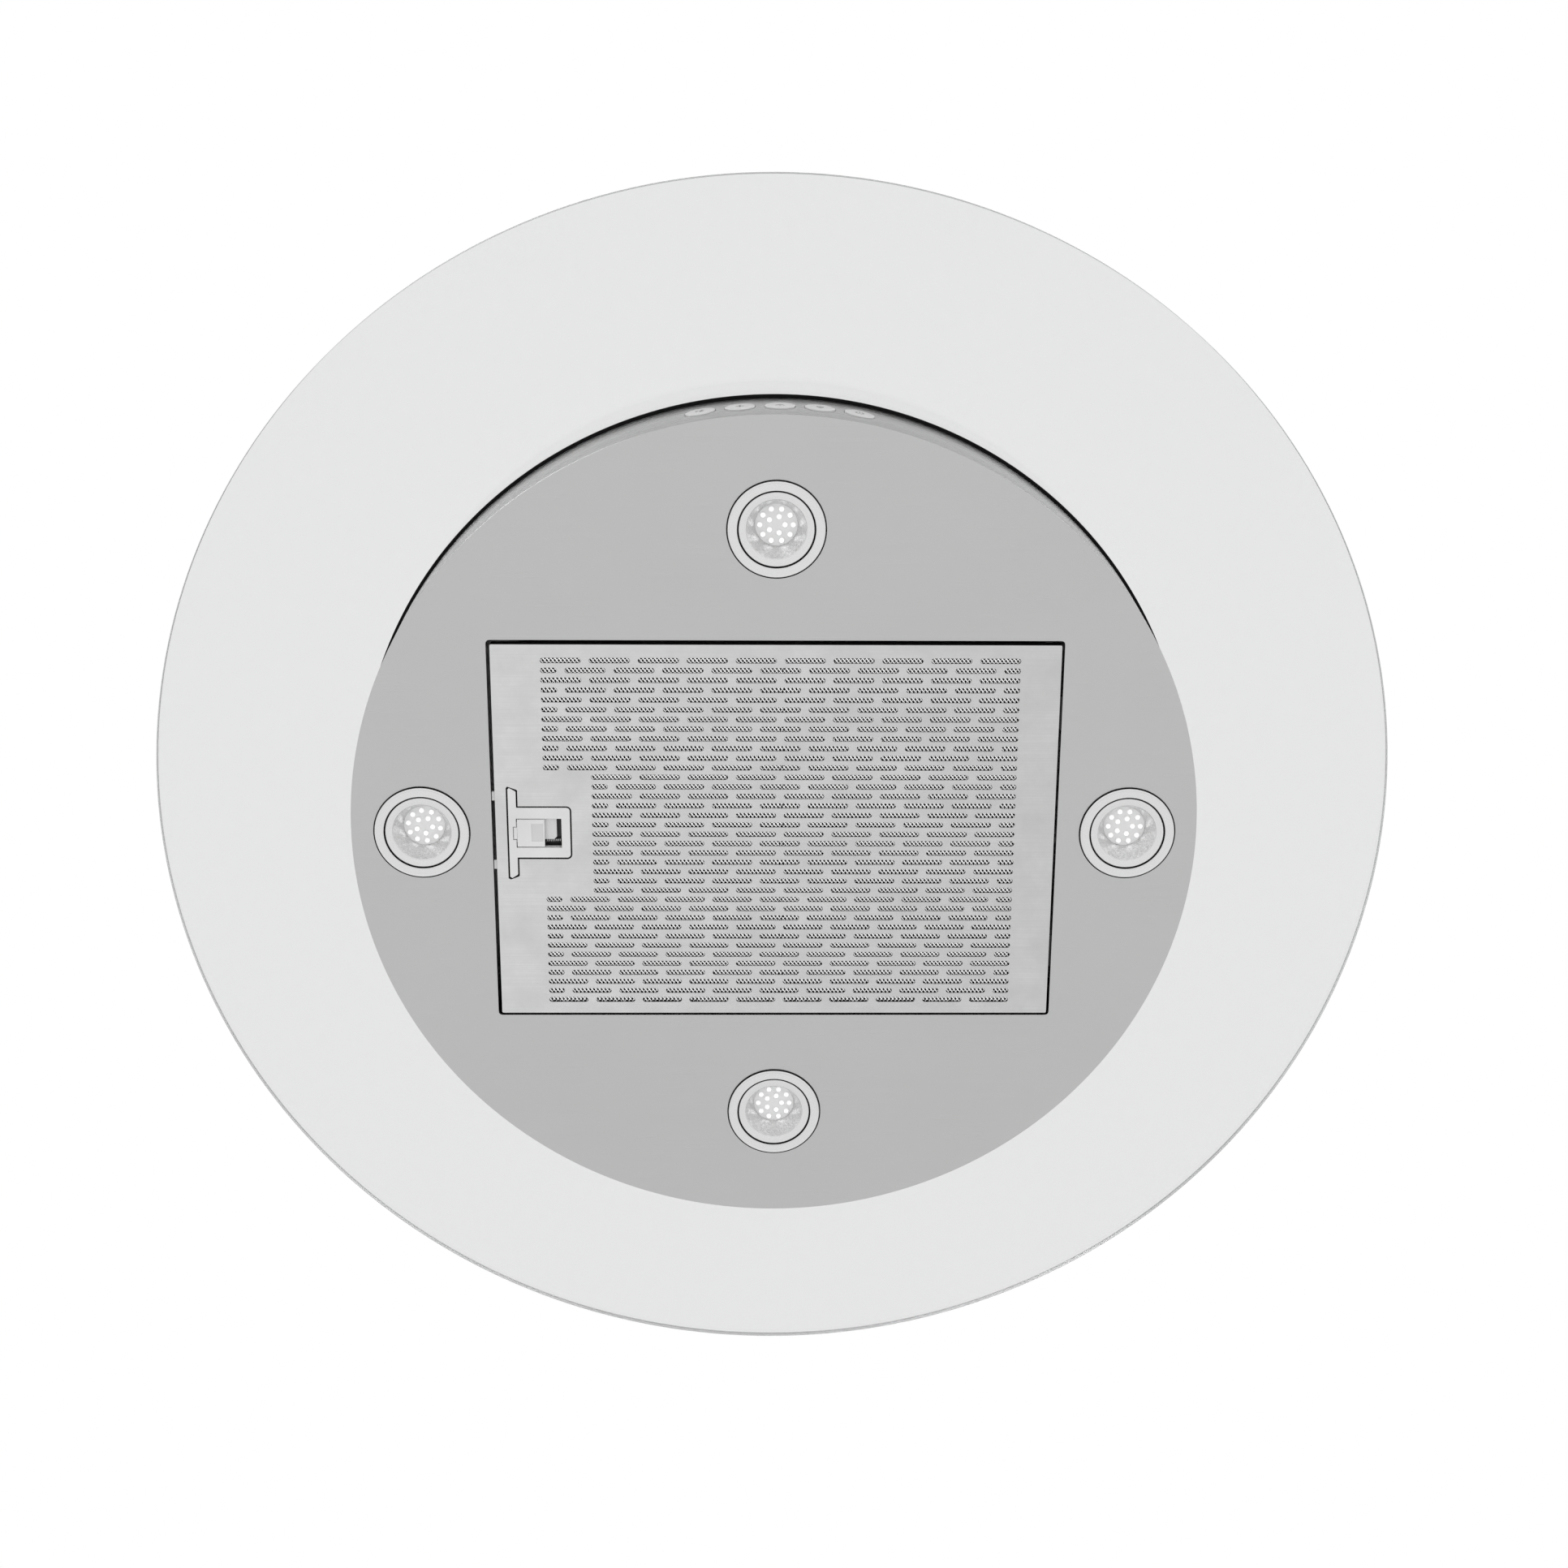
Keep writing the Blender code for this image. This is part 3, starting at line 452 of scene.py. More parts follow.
def circuit_board(name, colour):
    """Solder mask over a right-angled net of copper tracks."""
    skin = Skin(name, colour, 0.0, 0.35, Coat_Weight=0.3)
    tracks = skin.node("TexBrick", Vector=skin.place(), Scale=260.0, Mortar_Size=0.03)
    lines = skin.node("SeparateColor", Color=tracks.outputs["Color"]).outputs[0]
    skin.feed("Base Color", skin.blend(skin.spread(lines, 0, 1, (0, 1)), skin.shade(1.6),
                                       skin.colour))
    skin.relief(tracks.outputs["Fac"], 0.00003)
    return skin.material


def light_source(name, colour, strength, rim):
    """Lit diode: a white dome, brightest at its tip and dimmer down its sides."""
    skin = Skin(name, colour, 0.0, 0.2)
    upright = skin.node("SeparateXYZ", Vector=skin.node("NewGeometry").outputs["Normal"])
    downward = skin.node("Math", {"operation": "MULTIPLY"})
    skin.feed(0, upright.outputs["Z"], downward)
    skin.feed(1, -1.0, downward)
    patches = skin.noise(skin.place(), scale=700)
    glow = skin.blend(patches, skin.shade(0.97), skin.shade(1.0))
    skin.feed("Emission Color", skin.blend(
        skin.spread(downward.outputs[0], 0, 1, (0.55, 0.85)), skin.shade(rim), glow))
    skin.feed("Base Color", (*skin.shade(0.5), 1.0))
    skin.feed("Emission Strength", strength)
    return skin.material


PLATE = brushed("plate_satin_steel", 0.49, 0.34, "x", 0.012, 0.02)
WALL = brushed("wall_satin_steel", 0.42, 0.27, "around", 0.03, 0.03)
COVER = brushed("cover_satin_steel", 0.60, 0.26, "z", 0.05, 0.04)
# the last number is painted shade falling across the filter towards its right edge
FILTER = brushed("filter_brushed_aluminium", 0.645, 0.36, "x", 0.09, 0.13, 0.000008, 30, 0.11)
TRIM = brushed("lamp_trim_chrome", 0.68, 0.26, "rings", 0.02, 0.02)
MESH = bright_metal("filter_mesh_aluminium", 0.95, 0.40)
# finer layers coloured near black: painted shade behind the mesh's holes
INNER_MESH_SHADE = inner_mesh("filter_inner_mesh_shade", 0.05)
# near-black frame: painted shade, so that the gap round the filter's face reads black
FRAME_SHADE_BLACK = moulded("filter_frame_shade_black", 0.02, 0.45, 1200, 0.000006, Specular_IOR_Level=0.2)
ZINC = zinc_sheet("galvanised_sheet", 0.58)
FASTENER = bright_metal("zinc_plated_fastener", 0.65, 0.30)
WHEEL = zinc_sheet("impeller_zinc", 0.54, 0.38)
SHAFT = bright_metal("ground_steel", 0.70, 0.16)
REFLECTOR = bright_metal("reflector_satin", 0.72, 0.27)
RUBBER = moulded("black_rubber", 0.004, 0.62, 1800, 0.00002, Specular_IOR_Level=0.1)
BLACK = moulded("black_moulding", 0.025, 0.45)
LATCH = moulded("latch_moulding", 0.70, 0.42)
LATCH_PAD = moulded("latch_pad_moulding", 0.60, 0.50, 3800, 0.00003)
BUTTON = moulded("button_moulding", 0.58, 0.32)
SYMBOL = moulded("symbol_print", 0.16, 0.5)
ENAMEL = moulded("motor_enamel", 0.10, 0.38, 900, 0.00003)
WHITE_CASE = moulded("capacitor_moulding", 0.80, 0.34)
LAMP_BOARD = moulded("lamp_board", 0.82, 0.45)
BOARD = circuit_board("green_board", (0.03, 0.16, 0.07))
LED = light_source("led_dome", 1.0, 1.05, 0.5)
GLASS = clear_glass("canopy_glass", (0.775, 0.778, 0.778))
# ground edge: frosted, and tinted dark as painted shade for the dark line along the glass's edge
GROUND_GLASS_SHADED = clear_glass("canopy_ground_edge_shaded", (0.40, 0.41, 0.41), 0.35, 0.1)


# ---------------- glass and body
ARRIS = 0.0004  # ground corner of the glass
GLASS_HOLE = 0.125
EDGE_SEAL = (0.2862, 0.3012)  # inner and outer radius
TOP_SEAL = (0.127, 0.145)
WALL_SHEET = 0.0010
WALL_LIP = 0.013
BUTTONS = range(1, 6)
LAMPS = range(1, 5)
LAMP_HOLE = 0.0286
FILTER_OPENING = (-0.1995, 0.1999, -0.1424, 0.1400)  # left, right, front, rear
AIRWAY = (-0.070, 0.070, -0.100, 0.100)
BOLT_HOLE = 0.0045


def plate_outline(low, high, ease):
    """The corners of an upright box, seen from above, with eased corners."""
    return eased(rectangle(low.x, high.x, low.y, high.y), ease)


def make_glass():
    low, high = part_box("glass_canopy")
    edge = high.x
    profile = [(edge - ARRIS, high.z), (edge, high.z - ARRIS), (edge, low.z + ARRIS),
               (edge - ARRIS, low.z), (GLASS_HOLE + ARRIS, low.z), (GLASS_HOLE, low.z + ARRIS),
               (GLASS_HOLE, high.z - ARRIS), (GLASS_HOLE + ARRIS, high.z)]
    mesh = turned("canopy_glass_disc", profile)
    mesh.materials.append(GLASS)
    # the edge faces get the darker glass: painted shade along the edge
    mesh.materials.append(GROUND_GLASS_SHADED)
    for face in mesh.polygons:
        face.material_index = int(abs(face.normal.z) < 0.9)
    place_piece("canopy_glass_disc", mesh, GLASS, "hood", ["glass_canopy"])


def make_ring(name, node, inner, outer, ease, skin, body, slot):
    """A turned ring that is as high as its CAD node."""
    low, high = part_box(node)
    profile = [(outer, high.z), (outer, low.z), (inner, low.z), (inner, high.z)]
    place_piece(name, turned(name, eased(profile, ease)), skin, body, [node])


def make_seals():
    """The rubber band between the body and the glass, and the rings on top of the glass."""
    make_ring("glass_edge_seal", "edge_gasket", *EDGE_SEAL, 0.0005, RUBBER, "hood",
              "seal_rubber")
    make_ring("glass_top_seal", "upper_gasket", *TOP_SEAL, 0.0004, RUBBER, "hood",
              "seal_rubber")
    make_ring("glass_spacer", "spacer_ring", TOP_SEAL[0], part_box("spacer_ring")[1].x, 0.0004,
              BLACK, "hood", "black_plastic")


def button_frames():
    """Where each button sits: local Z points out of the wall and local Y up."""
    frames = {}
    inward = {joint["name"]: joint["axis"] for joint in frame["joints"]}
    for number in BUTTONS:
        out = -Vector(inward[f"button_{number}_press"])
        place = out * radius_of("drum_wall")
        place.z = middle_of(f"button_{number}").z
        side = Vector((-out.y, out.x, 0))
        axes = Matrix((side, (0, 0, 1), out)).transposed()
        frames[number] = Matrix.Translation(place) @ axes.to_4x4()
    return frames


def make_wall(frames):
    """Rolled wall with both edges folded inwards, and five holes for the buttons."""
    low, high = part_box("drum_wall")
    outer, inner, lip = high.x, high.x - WALL_SHEET, high.x - WALL_LIP
    profile = [(outer, high.z), (outer, low.z), (lip, low.z), (lip, low.z + WALL_SHEET),
               (inner, low.z + WALL_SHEET), (inner, high.z - WALL_SHEET),
               (lip, high.z - WALL_SHEET), (lip, high.z)]
    hole = [(BUTTON_HOLE, 0.006), (BUTTON_HOLE, -0.006), (0, -0.006), (0, 0.006)]
    cuts = [("DIFFERENCE", turned("button_hole", hole, SMALL_ROUND), frames[number])
            for number in BUTTONS]
    mesh = carved("drum_wall_shell", turned("drum_wall_shell", eased(profile, 0.0007)), cuts)
    place_piece("drum_wall_shell", mesh, WALL, "hood", ["drum_wall"])


def lamp_centres():
    return {number: middle_of(f"lamp_trim_{number}").xy for number in LAMPS}


def make_bottom_plate():
    low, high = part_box("bottom_plate")
    opening = eased(rectangle(*FILTER_OPENING), 0.0030, 5)
    holes = [circle(LAMP_HOLE, place, SMALL_ROUND) for place in lamp_centres().values()]
    mesh = sheet("bottom_plate_sheet", [circle(high.x), opening] + holes, low.z, high.z)
    place_piece("bottom_plate_sheet", mesh, PLATE, "hood", ["bottom_plate"])


def make_top_deck():
    low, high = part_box("top_deck")
    bolts = [middle_of(f"clamp_bolt_{number}").xy for number in range(1, 5)]
    holes = [circle(BOLT_HOLE, place, 24) for place in bolts]
    outlines = [circle(high.x), eased(rectangle(*AIRWAY), 0.004)] + holes
    mesh = sheet("top_deck_sheet", outlines, low.z, high.z)
    place_piece("top_deck_sheet", mesh, ZINC, "hood", ["top_deck"])


# ---------------- buttons
BUTTON_CAP = 0.0104
BUTTON_HOLE = BUTTON_CAP + 0.00045
CAP_RISE = 0.0009  # a cap's middle stands this far out of the wall
FLANGE, STEM = BUTTON_CAP + 0.0012, 0.003
STEM_ROOM = 0.0032  # from a stem's end to the switch board, a press and a gap
SIGN_SIZE = 1.35  # the signs are drawn smaller than they're printed


def button_profile(stem_end):
    cap, rise = BUTTON_CAP, CAP_RISE
    return [(0, rise), (0.0070, rise - 0.00003), (0.0094, rise - 0.00013),
            (cap - 0.0003, rise - 0.00027), (cap - 0.0001, rise - 0.0004),
            (cap, rise - 0.0006), (cap, -0.0016), (FLANGE, -0.0016), (FLANGE, -0.0026),
            (STEM, -0.0026), (STEM, stem_end), (0, stem_end)]


def make_buttons(frames):
    """Nearly flat caps with a printed sign each: fan, plus, arrow, lamp and power."""
    signs = {1: fan_sign(), 2: plus_sign(), 3: arrow_sign(), 4: lamp_sign(), 5: power_sign()}
    for number in BUTTONS:
        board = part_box("button_board")[0].y - STEM_ROOM
        stem_end = board / frames[number].col[2].y - radius_of("drum_wall")
        body = f"button_{number}_body"
        name = f"button_{number}_cap"
        mesh = turned(name, button_profile(stem_end), SMALL_ROUND)
        place_piece(name, mesh, BUTTON, body, [f"button_{number}"],
                    frames[number])
        name = f"button_{number}_sign"
        outlines = [[(x * SIGN_SIZE, y * SIGN_SIZE) for x, y in line]
                    for line in signs[number]]
        mesh = sheet(name, outlines, CAP_RISE - 0.0001, CAP_RISE + 0.00006, 0.00002)
        place_piece(name, mesh, SYMBOL, body, (), frames[number])


def fan_sign():
    """Three swept blades round a hub."""
    outlines = [circle(0.0005, sides=12)]
    for blade in range(3):
        start = 2 * pi * blade / 3 + pi / 6
        tip = arc(0.0024, start, start + 0.9, 6)
        root = arc(0.0008, start + 0.35, start, 2)
        outlines.append(tip + root)
    return outlines


def plus_sign():
    arm, half = 0.0022, 0.0004
    return [[(-half, -arm), (half, -arm), (half, -half), (arm, -half), (arm, half),
             (half, half), (half, arm), (-half, arm), (-half, half), (-arm, half),
             (-arm, -half), (-half, -half)]]


def arrow_sign():
    """A roof-shaped arrow over a dot."""
    reach, thick = 0.0024, 0.0009
    return [[(-reach, -0.0008), (0, 0.0018), (reach, -0.0008), (reach - 0.0004, -0.0014),
             (0, 0.0018 - thick), (-reach + 0.0004, -0.0014)],
            circle(0.0005, (0, -0.0012), 12)]


def lamp_sign():
    """A ring with a foot, and a filament dot."""
    return [circle(0.0019, (0, 0.0004), 24), circle(0.0014, (0, 0.0004), 24),
            rectangle(-0.0009, 0.0009, -0.0026, -0.0019), circle(0.0004, (0, 0.0004), 12)]


def power_sign():
    """An open ring with a bar in its gap."""
    outer = arc(0.0023, radians(120), radians(420), 24)
    inner = arc(0.0017, radians(420), radians(120), 24)
    return [outer + inner, rectangle(-0.0003, 0.0003, 0.0006, 0.0029)]


# ---------------- grease filter
SLOT_ROWS = 37
SLOT_PITCH = 0.00710
SLOT_HEIGHT = 0.0038
SLOT_LONG, SLOT_SHORT = 0.0284, 0.0115
SLOT_STEP = 0.0338  # from one slot to the next in a row
SLOTS_FROM, SLOTS_BESIDE_LATCH, SLOTS_TO = -0.1626, -0.1288, 0.1701
LATCH_ROWS = range(12, 25)  # rows that stop short of the latch
MESH_CELL = (0.00276, 0.0037)  # one opening of the expanded mesh, with its strands
MESH_OPEN = 0.70  # share of a cell's width that is open
MESH_SKEW = 0.08  # makes the strands of one slant wider than the others
MESH_TWIST = 0.15  # lift of the strands' edges, as a share of the thickness
MESH_THICK = 0.0006
MESH_PAD = (0.0011, 0.0018)  # the finer layers behind it, above the mesh's own foot
MESH_SPLIT = 0.004  # where the two halves of the mesh meet


def slot_outlines():
    """Rows of long slots, every second row set off by a short slot at each end."""
    outlines = []
    for row in range(SLOT_ROWS):
        centre = (row - (SLOT_ROWS - 1) / 2) * SLOT_PITCH
        start = SLOTS_BESIDE_LATCH if row in LATCH_ROWS else SLOTS_FROM
        if row % 2:
            ends = (start, SLOTS_TO - SLOT_SHORT)
            outlines += [stadium(x, x + SLOT_SHORT, centre, SLOT_HEIGHT) for x in ends]
            start += SLOT_STEP / 2
        count = int((SLOTS_TO - start + 0.001) / SLOT_STEP + 0.2)
        for number in range(count):
            left = start + number * SLOT_STEP
            outlines.append(stadium(left, left + SLOT_LONG, centre, SLOT_HEIGHT))
    return outlines


def make_filter_face():
    low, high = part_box("filter_face")
    outlines = [plate_outline(low, high, 0.0012), latch_outline(LATCH_GAP)] + slot_outlines()
    mesh = sheet("filter_face_sheet", outlines, low.z, high.z)
    place_piece("filter_face_sheet", mesh, FILTER, "filter",
                ["filter_face"])


def mesh_cells(left, right, front, rear):
    """Row, column and centre of each opening between the limits; nodes in a row."""
    wide, tall = MESH_CELL
    rows = int((rear - front) / (tall / 2)) - 1
    columns = int((right - left) / wide) - 1
    row, column = np.meshgrid(np.arange(rows), np.arange(columns), indexing="ij")
    row, column = row.ravel(), column.ravel()
    x = left + wide * (column + 0.5 + 0.5 * (row % 2))
    y = front + tall / 2 * (row + 1)
    return row, column, x, y, columns + 2


def shared_nodes(row, column, across):
    """Numbers of the nodes right of, above, left of and below each opening; their count."""
    right = row * across + column + 1
    top = (row + 1) * across + column + (row % 2)
    bottom = (row - 1) * across + column + (row % 2)
    keys, index = np.unique(np.stack([right, top, right - 1, bottom], 1),
                            return_inverse=True)
    return index.reshape(-1, 4), len(keys)


def expanded_mesh(name, limits, keep, low, high):
    """Aluminium sheet slit and stretched into a net of rhombic openings.

    Each opening has four corners just above the sheet's lower face. Four nodes round it,
    shared with its neighbours, stand out on both faces, so that every strand has a ridge.
    """
    wide, tall = MESH_CELL
    row, column, x, y, across = mesh_cells(*limits)
    kept = keep(x, y)
    index, count = shared_nodes(row[kept], column[kept], across)
    centres = np.stack([x[kept], y[kept]], 1)[:, None]
    steps = np.array([(wide / 2, 0), (0, tall / 2), (-wide / 2, 0), (0, -tall / 2)])
    skew = np.array([(0, tall / 2), (wide / 2, 0), (0, -tall / 2), (-wide / 2, 0)])
    reach = steps * MESH_OPEN + skew * MESH_SKEW
    nodes = np.zeros((count, 2))
    nodes[index.ravel()] = (centres + steps).reshape(-1, 2)
    inner = np.bincount(index.ravel(), minlength=count) == 4
    rim = low + (high - low) / 4

    front = np.column_stack([nodes, np.where(inner, low, rim)])
    back = np.column_stack([nodes[inner], np.full(inner.sum(), high)])
    twist = np.array([0, MESH_TWIST, 0, -MESH_TWIST]) * (high - low)
    rims = np.column_stack([(centres + reach).reshape(-1, 2),
                            np.tile(rim + twist, len(centres))])
    vertices = np.vstack([front, back, rims])
    back_index = np.arange(count)
    back_index[inner] = count + np.arange(inner.sum())
    rim_index = len(front) + len(back) + np.arange(4 * len(centres)).reshape(-1, 4)

    following = [1, 2, 3, 0]
    lower = np.stack([index, rim_index, rim_index[:, following], index[:, following]], 2)
    upper = np.stack([back_index[index], back_index[index[:, following]],
                      rim_index[:, following], rim_index], 2)
    faces = np.vstack([lower.reshape(-1, 4), upper.reshape(-1, 4)])
    mesh = bpy.data.meshes.new(name)
    mesh.from_pydata(vertices.tolist(), [], faces.tolist())
    mesh.validate()
    return mesh


def make_filter_mesh():
    low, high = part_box("filter_mesh")
    latch_low, latch_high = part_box("latch_housing")
    limits = (low.x, high.x, low.y, high.y)

    def clear_of_latch(x, y):
        beside = (y < latch_low.y - 0.003) | (y > latch_high.y + 0.004)
        return beside | (x > latch_high.x + 0.004)

    for name, side in (("filter_mesh_latch_half", -1), ("filter_mesh_hinge_half", 1)):
        def keep(x, y, side=side):
            return clear_of_latch(x, y) & ((x - MESH_SPLIT) * side > 0)
        mesh = expanded_mesh(name, limits, keep, low.z, low.z + MESH_THICK)
        nodes = ["filter_mesh"] if side < 0 else []
        place_piece(name, mesh, MESH, "filter", nodes, sharp=20)
    notch = (latch_low.y - 0.0020, latch_high.y + 0.0020, -0.1400)
    outline = [(low.x, low.y), (high.x, low.y), (high.x, high.y), (low.x, high.y),
               (low.x, notch[1]), (notch[2], notch[1]), (notch[2], notch[0]),
               (low.x, notch[0])]
    # the finer layers behind the mesh, near black as painted shade
    pad = sheet("filter_inner_layers", [outline], low.z + MESH_PAD[0], low.z + MESH_PAD[1],
                0.0001)
    place_piece("filter_inner_layers", pad, INNER_MESH_SHADE, "filter")


# ---------------- filter latch
LATCH_GAP = 0.0011  # all round the latch, to the filter's face
LATCH_PLATE = 0.0012  # top of the housing's plate, and below, of its inner panel
LATCH_ROOF = 0.0040
LATCH_WALL = 0.0012
WINDOW = (-0.1826, -0.1506, -0.0115, 0.0103)  # left, right, front, rear
SLIDER_GAP = 0.0006  # between the window's edges and the finger plate
SLIDER_RIGHT = -0.1626
THUMB_RECESS = (-0.1719, -0.1636, -0.0075, 0.0057)


def latch_outline(spread):
    """A bar with slanted ends and a block on its right, grown by spread all round."""
    left, bar, right = -0.1879 - spread, -0.1822 + spread, -0.1445 + spread
    front, rear = -0.0344 - spread, 0.0334 + spread
    block_front, block_rear = -0.0197 - spread, 0.0178 + spread
    corner, slant = 0.0025 + spread, 0.0030
    outline = [(left + 0.0010, front), (bar - 0.0006, front + slant - 0.0007),
               (bar, front + slant), (bar, block_front)]
    outline += arc(corner, -pi / 2, 0, 6, (right - corner, block_front + corner))
    outline += arc(corner, 0, pi / 2, 6, (right - corner, block_rear - corner))
    outline += [(bar, block_rear), (bar, rear - slant), (bar - 0.0006, rear - slant + 0.0007),
                (left + 0.0016, rear), (left, rear - 0.0010), (left, front + 0.0010)]
    return outline


def window_outline():
    """The opening that the finger plate slides in, with a notch for its tab."""
    left, right, front, rear = WINDOW
    notch_left, notch_front, notch_rear = left - 0.0023, -0.0054, 0.0045
    return [(left, front), (right, front), (right, rear), (left, rear), (left, notch_rear),
            (notch_left, notch_rear), (notch_left, notch_front), (left, notch_front)]


def spring_slot():
    """L-shaped opening in the latch's inner panel, where the spring shows."""
    _, right, front, rear = WINDOW
    inner, shelf, far = -0.1542, 0.0052, -0.1668
    return [(right, front), (right, rear), (far, rear), (far, shelf), (inner - 0.0020, shelf),
            (inner, shelf - 0.0020), (inner, front)]


def make_latch_housing():
    """Face plate, a black strip of painted shade in the gap round it, and the cup and guides
    behind it.
    """
    left, right, front, rear = WINDOW
    plate = sheet("latch_plate", [latch_outline(0), window_outline()], at(0),
                  at(LATCH_PLATE), 0.00018)
    place_piece("latch_plate", plate, LATCH, "filter", ["latch_housing"])
    # black strip under the gap round the plate: painted shade, so the gap reads black
    gap_shade = sheet("latch_gap_shade", [latch_outline(LATCH_GAP + 0.0005), latch_outline(-0.0006)],
                    at(0.00105), at(0.00135), 0.00005)
    place_piece("latch_gap_shade", gap_shade, RUBBER, "filter")
    wall = LATCH_WALL
    panel_edge = rectangle(left + 0.0020, right + wall, front - wall, rear + wall)
    panel = sheet("latch_panel", [panel_edge, spring_slot()], at(LATCH_ROOF),
                  at(LATCH_ROOF + 0.0009), 0.0001)
    place_piece("latch_panel", panel, LATCH, "filter")
    room = rectangle(left + 0.0032, right, front, rear)
    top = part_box("latch_housing")[1].z
    cup = sheet("latch_cup", [panel_edge, room], at(LATCH_ROOF + 0.0010), top - 0.0008, 0.0001)
    place_piece("latch_cup", cup, BLACK, "filter")
    lid = sheet("latch_cup_lid", [panel_edge], top - 0.0007, top, 0.0001)
    place_piece("latch_cup_lid", lid, BLACK, "filter")
    guide_low, guide_high = at(LATCH_PLATE) + 0.0001, at(LATCH_ROOF) - 0.0001
    sides = [((left + 0.0035, low, guide_low), (right + wall, high, guide_high))
             for low, high in ((front - wall, front - 0.0002), (rear + 0.0002, rear + wall))]
    place_piece("latch_guides", bevelled(blocks("latch_guides", sides), 0.00015), LATCH,
                "filter")


def make_latch_slider():
    """Finger plate with its tab and its thumb recess."""
    low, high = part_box("latch_slider")
    left, _, front, rear = WINDOW
    face, back = low.z, low.z + 0.0018
    plate = blocks("finger_plate", [((left + SLIDER_GAP, front + SLIDER_GAP, face),
                                     (SLIDER_RIGHT, rear - SLIDER_GAP, back))])
    tab = blocks("tab", [((left - 0.0018, -0.0049, face + 0.0001),
                          (left + 0.0010, 0.0040, back))])
    recess_low = (THUMB_RECESS[0], THUMB_RECESS[2], face - 0.001)
    recess_high = (THUMB_RECESS[1], THUMB_RECESS[3], face + 0.0005)
    recess = blocks("recess", [(recess_low, recess_high)])
    identity = Matrix.Identity(4)
    plate = carved("latch_finger_plate", plate, [("UNION", tab, identity),
                                                 ("DIFFERENCE", recess, identity)])
    place_piece("latch_finger_plate", bevelled(plate, 0.00016), LATCH, "latch",
                ["latch_slider"])
    pad = sheet("latch_thumb_pad", [rectangle(*THUMB_RECESS)], face + 0.00042, face + 0.0006,
                0.00003)
    place_piece("latch_thumb_pad", pad, LATCH_PAD, "latch")
    make_latch_bolts(low, high)


def make_latch_bolts(low, high):
    """Cross bar with a bolt at each end and an arm to the finger plate."""
    bar_low, bar_high = at(LATCH_PLATE) + 0.0004, at(0.0034)
    front_bolt, rear_bolt = (low.y, low.y + 0.0067), (high.y - 0.0068, high.y)
    shapes = [((-0.1953, low.y, bar_low), (-0.1913, high.y, bar_high)),
              ((-0.1925, -0.0085, bar_low), (-0.1770, 0.0065, bar_high))]
    shapes += [((low.x, y0, bar_low), (-0.1923, y1, bar_high)) for y0, y1 in
               (front_bolt, rear_bolt)]
    base = blocks("bolt_bar", shapes[:1])
    parts = [("UNION", blocks("bolt_bar_part", [shape]), Matrix.Identity(4))
             for shape in shapes[1:]]
    bolts = bevelled(carved("latch_bolts", base, parts), 0.0003)
    place_piece("latch_bolts", bolts, LATCH, "latch")


def make_latch_spring():
    """Compression coil that fills the CAD spring's length, between the housing and the finger
    plate.
    """
    low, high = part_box("latch_spring")
    coil, wire, turns, steps = 0.0014, 0.00028, 8, 16
    centre = (low + high) / 2
    points = []
    for i in range(turns * steps + 1):
        angle = 2 * pi * i / steps
        along = low.x + wire + (high.x - low.x - 2 * wire) * i / (turns * steps)
        points.append((along, centre.y + coil * cos(angle), centre.z + coil * sin(angle)))
    spring = new_object("latch_coil_spring", tube("latch_coil_spring", points, wire))
    spring.data.materials.append(SHAFT)
    spring.data.shade_smooth()
    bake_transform(spring)
    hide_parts("latch_spring")


# ---------------- lamps
TRIM_METAL = 0.0334  # the trim's metal stands just inside its rubber seal
TRIM_BORE, TRIM_SLEEVE = 0.0266, 0.0280
SEAL_OUTER = 0.0342
RING_OUTER, RING_INNER = 0.0258, 0.0204
LED_FOOT = 0.0145  # height of the board's face above the underside
BOWL_FOOT = 0.0146
BOARD_RADIUS = BOWL_FOOT + 0.0003
BOWL_FACETS, BOWL_TIERS = 26, 4
LED_RINGS = ((10, 0.0115), (5, 0.0059))  # diodes and radius
LED_RADIUS = 0.0018
LED_COLLAR = LED_RADIUS + 0.0004
LED_PHASE = radians(18)
LED_SIDES = 20
LAMP_TURNS = {1: 0, 2: 0, 3: radians(10), 4: 0}  # how far each lamp is turned in its hole


def facetted_bowl(name, rim_height, foot_height):
    """Reflector of small triangular mirrors: each ring of points is turned half a step."""
    shape = bmesh.new()

    def ring_of(radius, height, twist=0.0):
        turns = [twist + 2 * pi * i / BOWL_FACETS for i in range(BOWL_FACETS)]
        return [shape.verts.new((radius * cos(a), radius * sin(a), height)) for a in turns]

    rings = []
    for tier in range(BOWL_TIERS + 1):
        part = tier / BOWL_TIERS
        radius = RING_INNER + (BOWL_FOOT - RING_INNER) * part ** 1.3
        height = rim_height + (foot_height - rim_height) * part
        rings.append(ring_of(radius, height, pi / BOWL_FACETS * (tier % 2)))
    back = [ring_of(BOWL_FOOT + 0.0008, foot_height), ring_of(RING_INNER + 0.0008, rim_height)]
    for tier, (ring, after) in enumerate(zip(rings, rings[1:])):
        for i in range(BOWL_FACETS):
            j = (i + 1) % BOWL_FACETS
            if tier % 2:
                shape.faces.new((ring[i], ring[j], after[j]))
                shape.faces.new((ring[i], after[j], after[i]))
            else:
                shape.faces.new((ring[i], ring[j], after[i]))
                shape.faces.new((ring[j], after[j], after[i]))
    for ring, after in zip([rings[-1], *back], [*back, rings[0]]):
        for i in range(BOWL_FACETS):
            j = (i + 1) % BOWL_FACETS
            shape.faces.new((ring[i], ring[j], after[j], after[i]))
    return finished(name, shape)


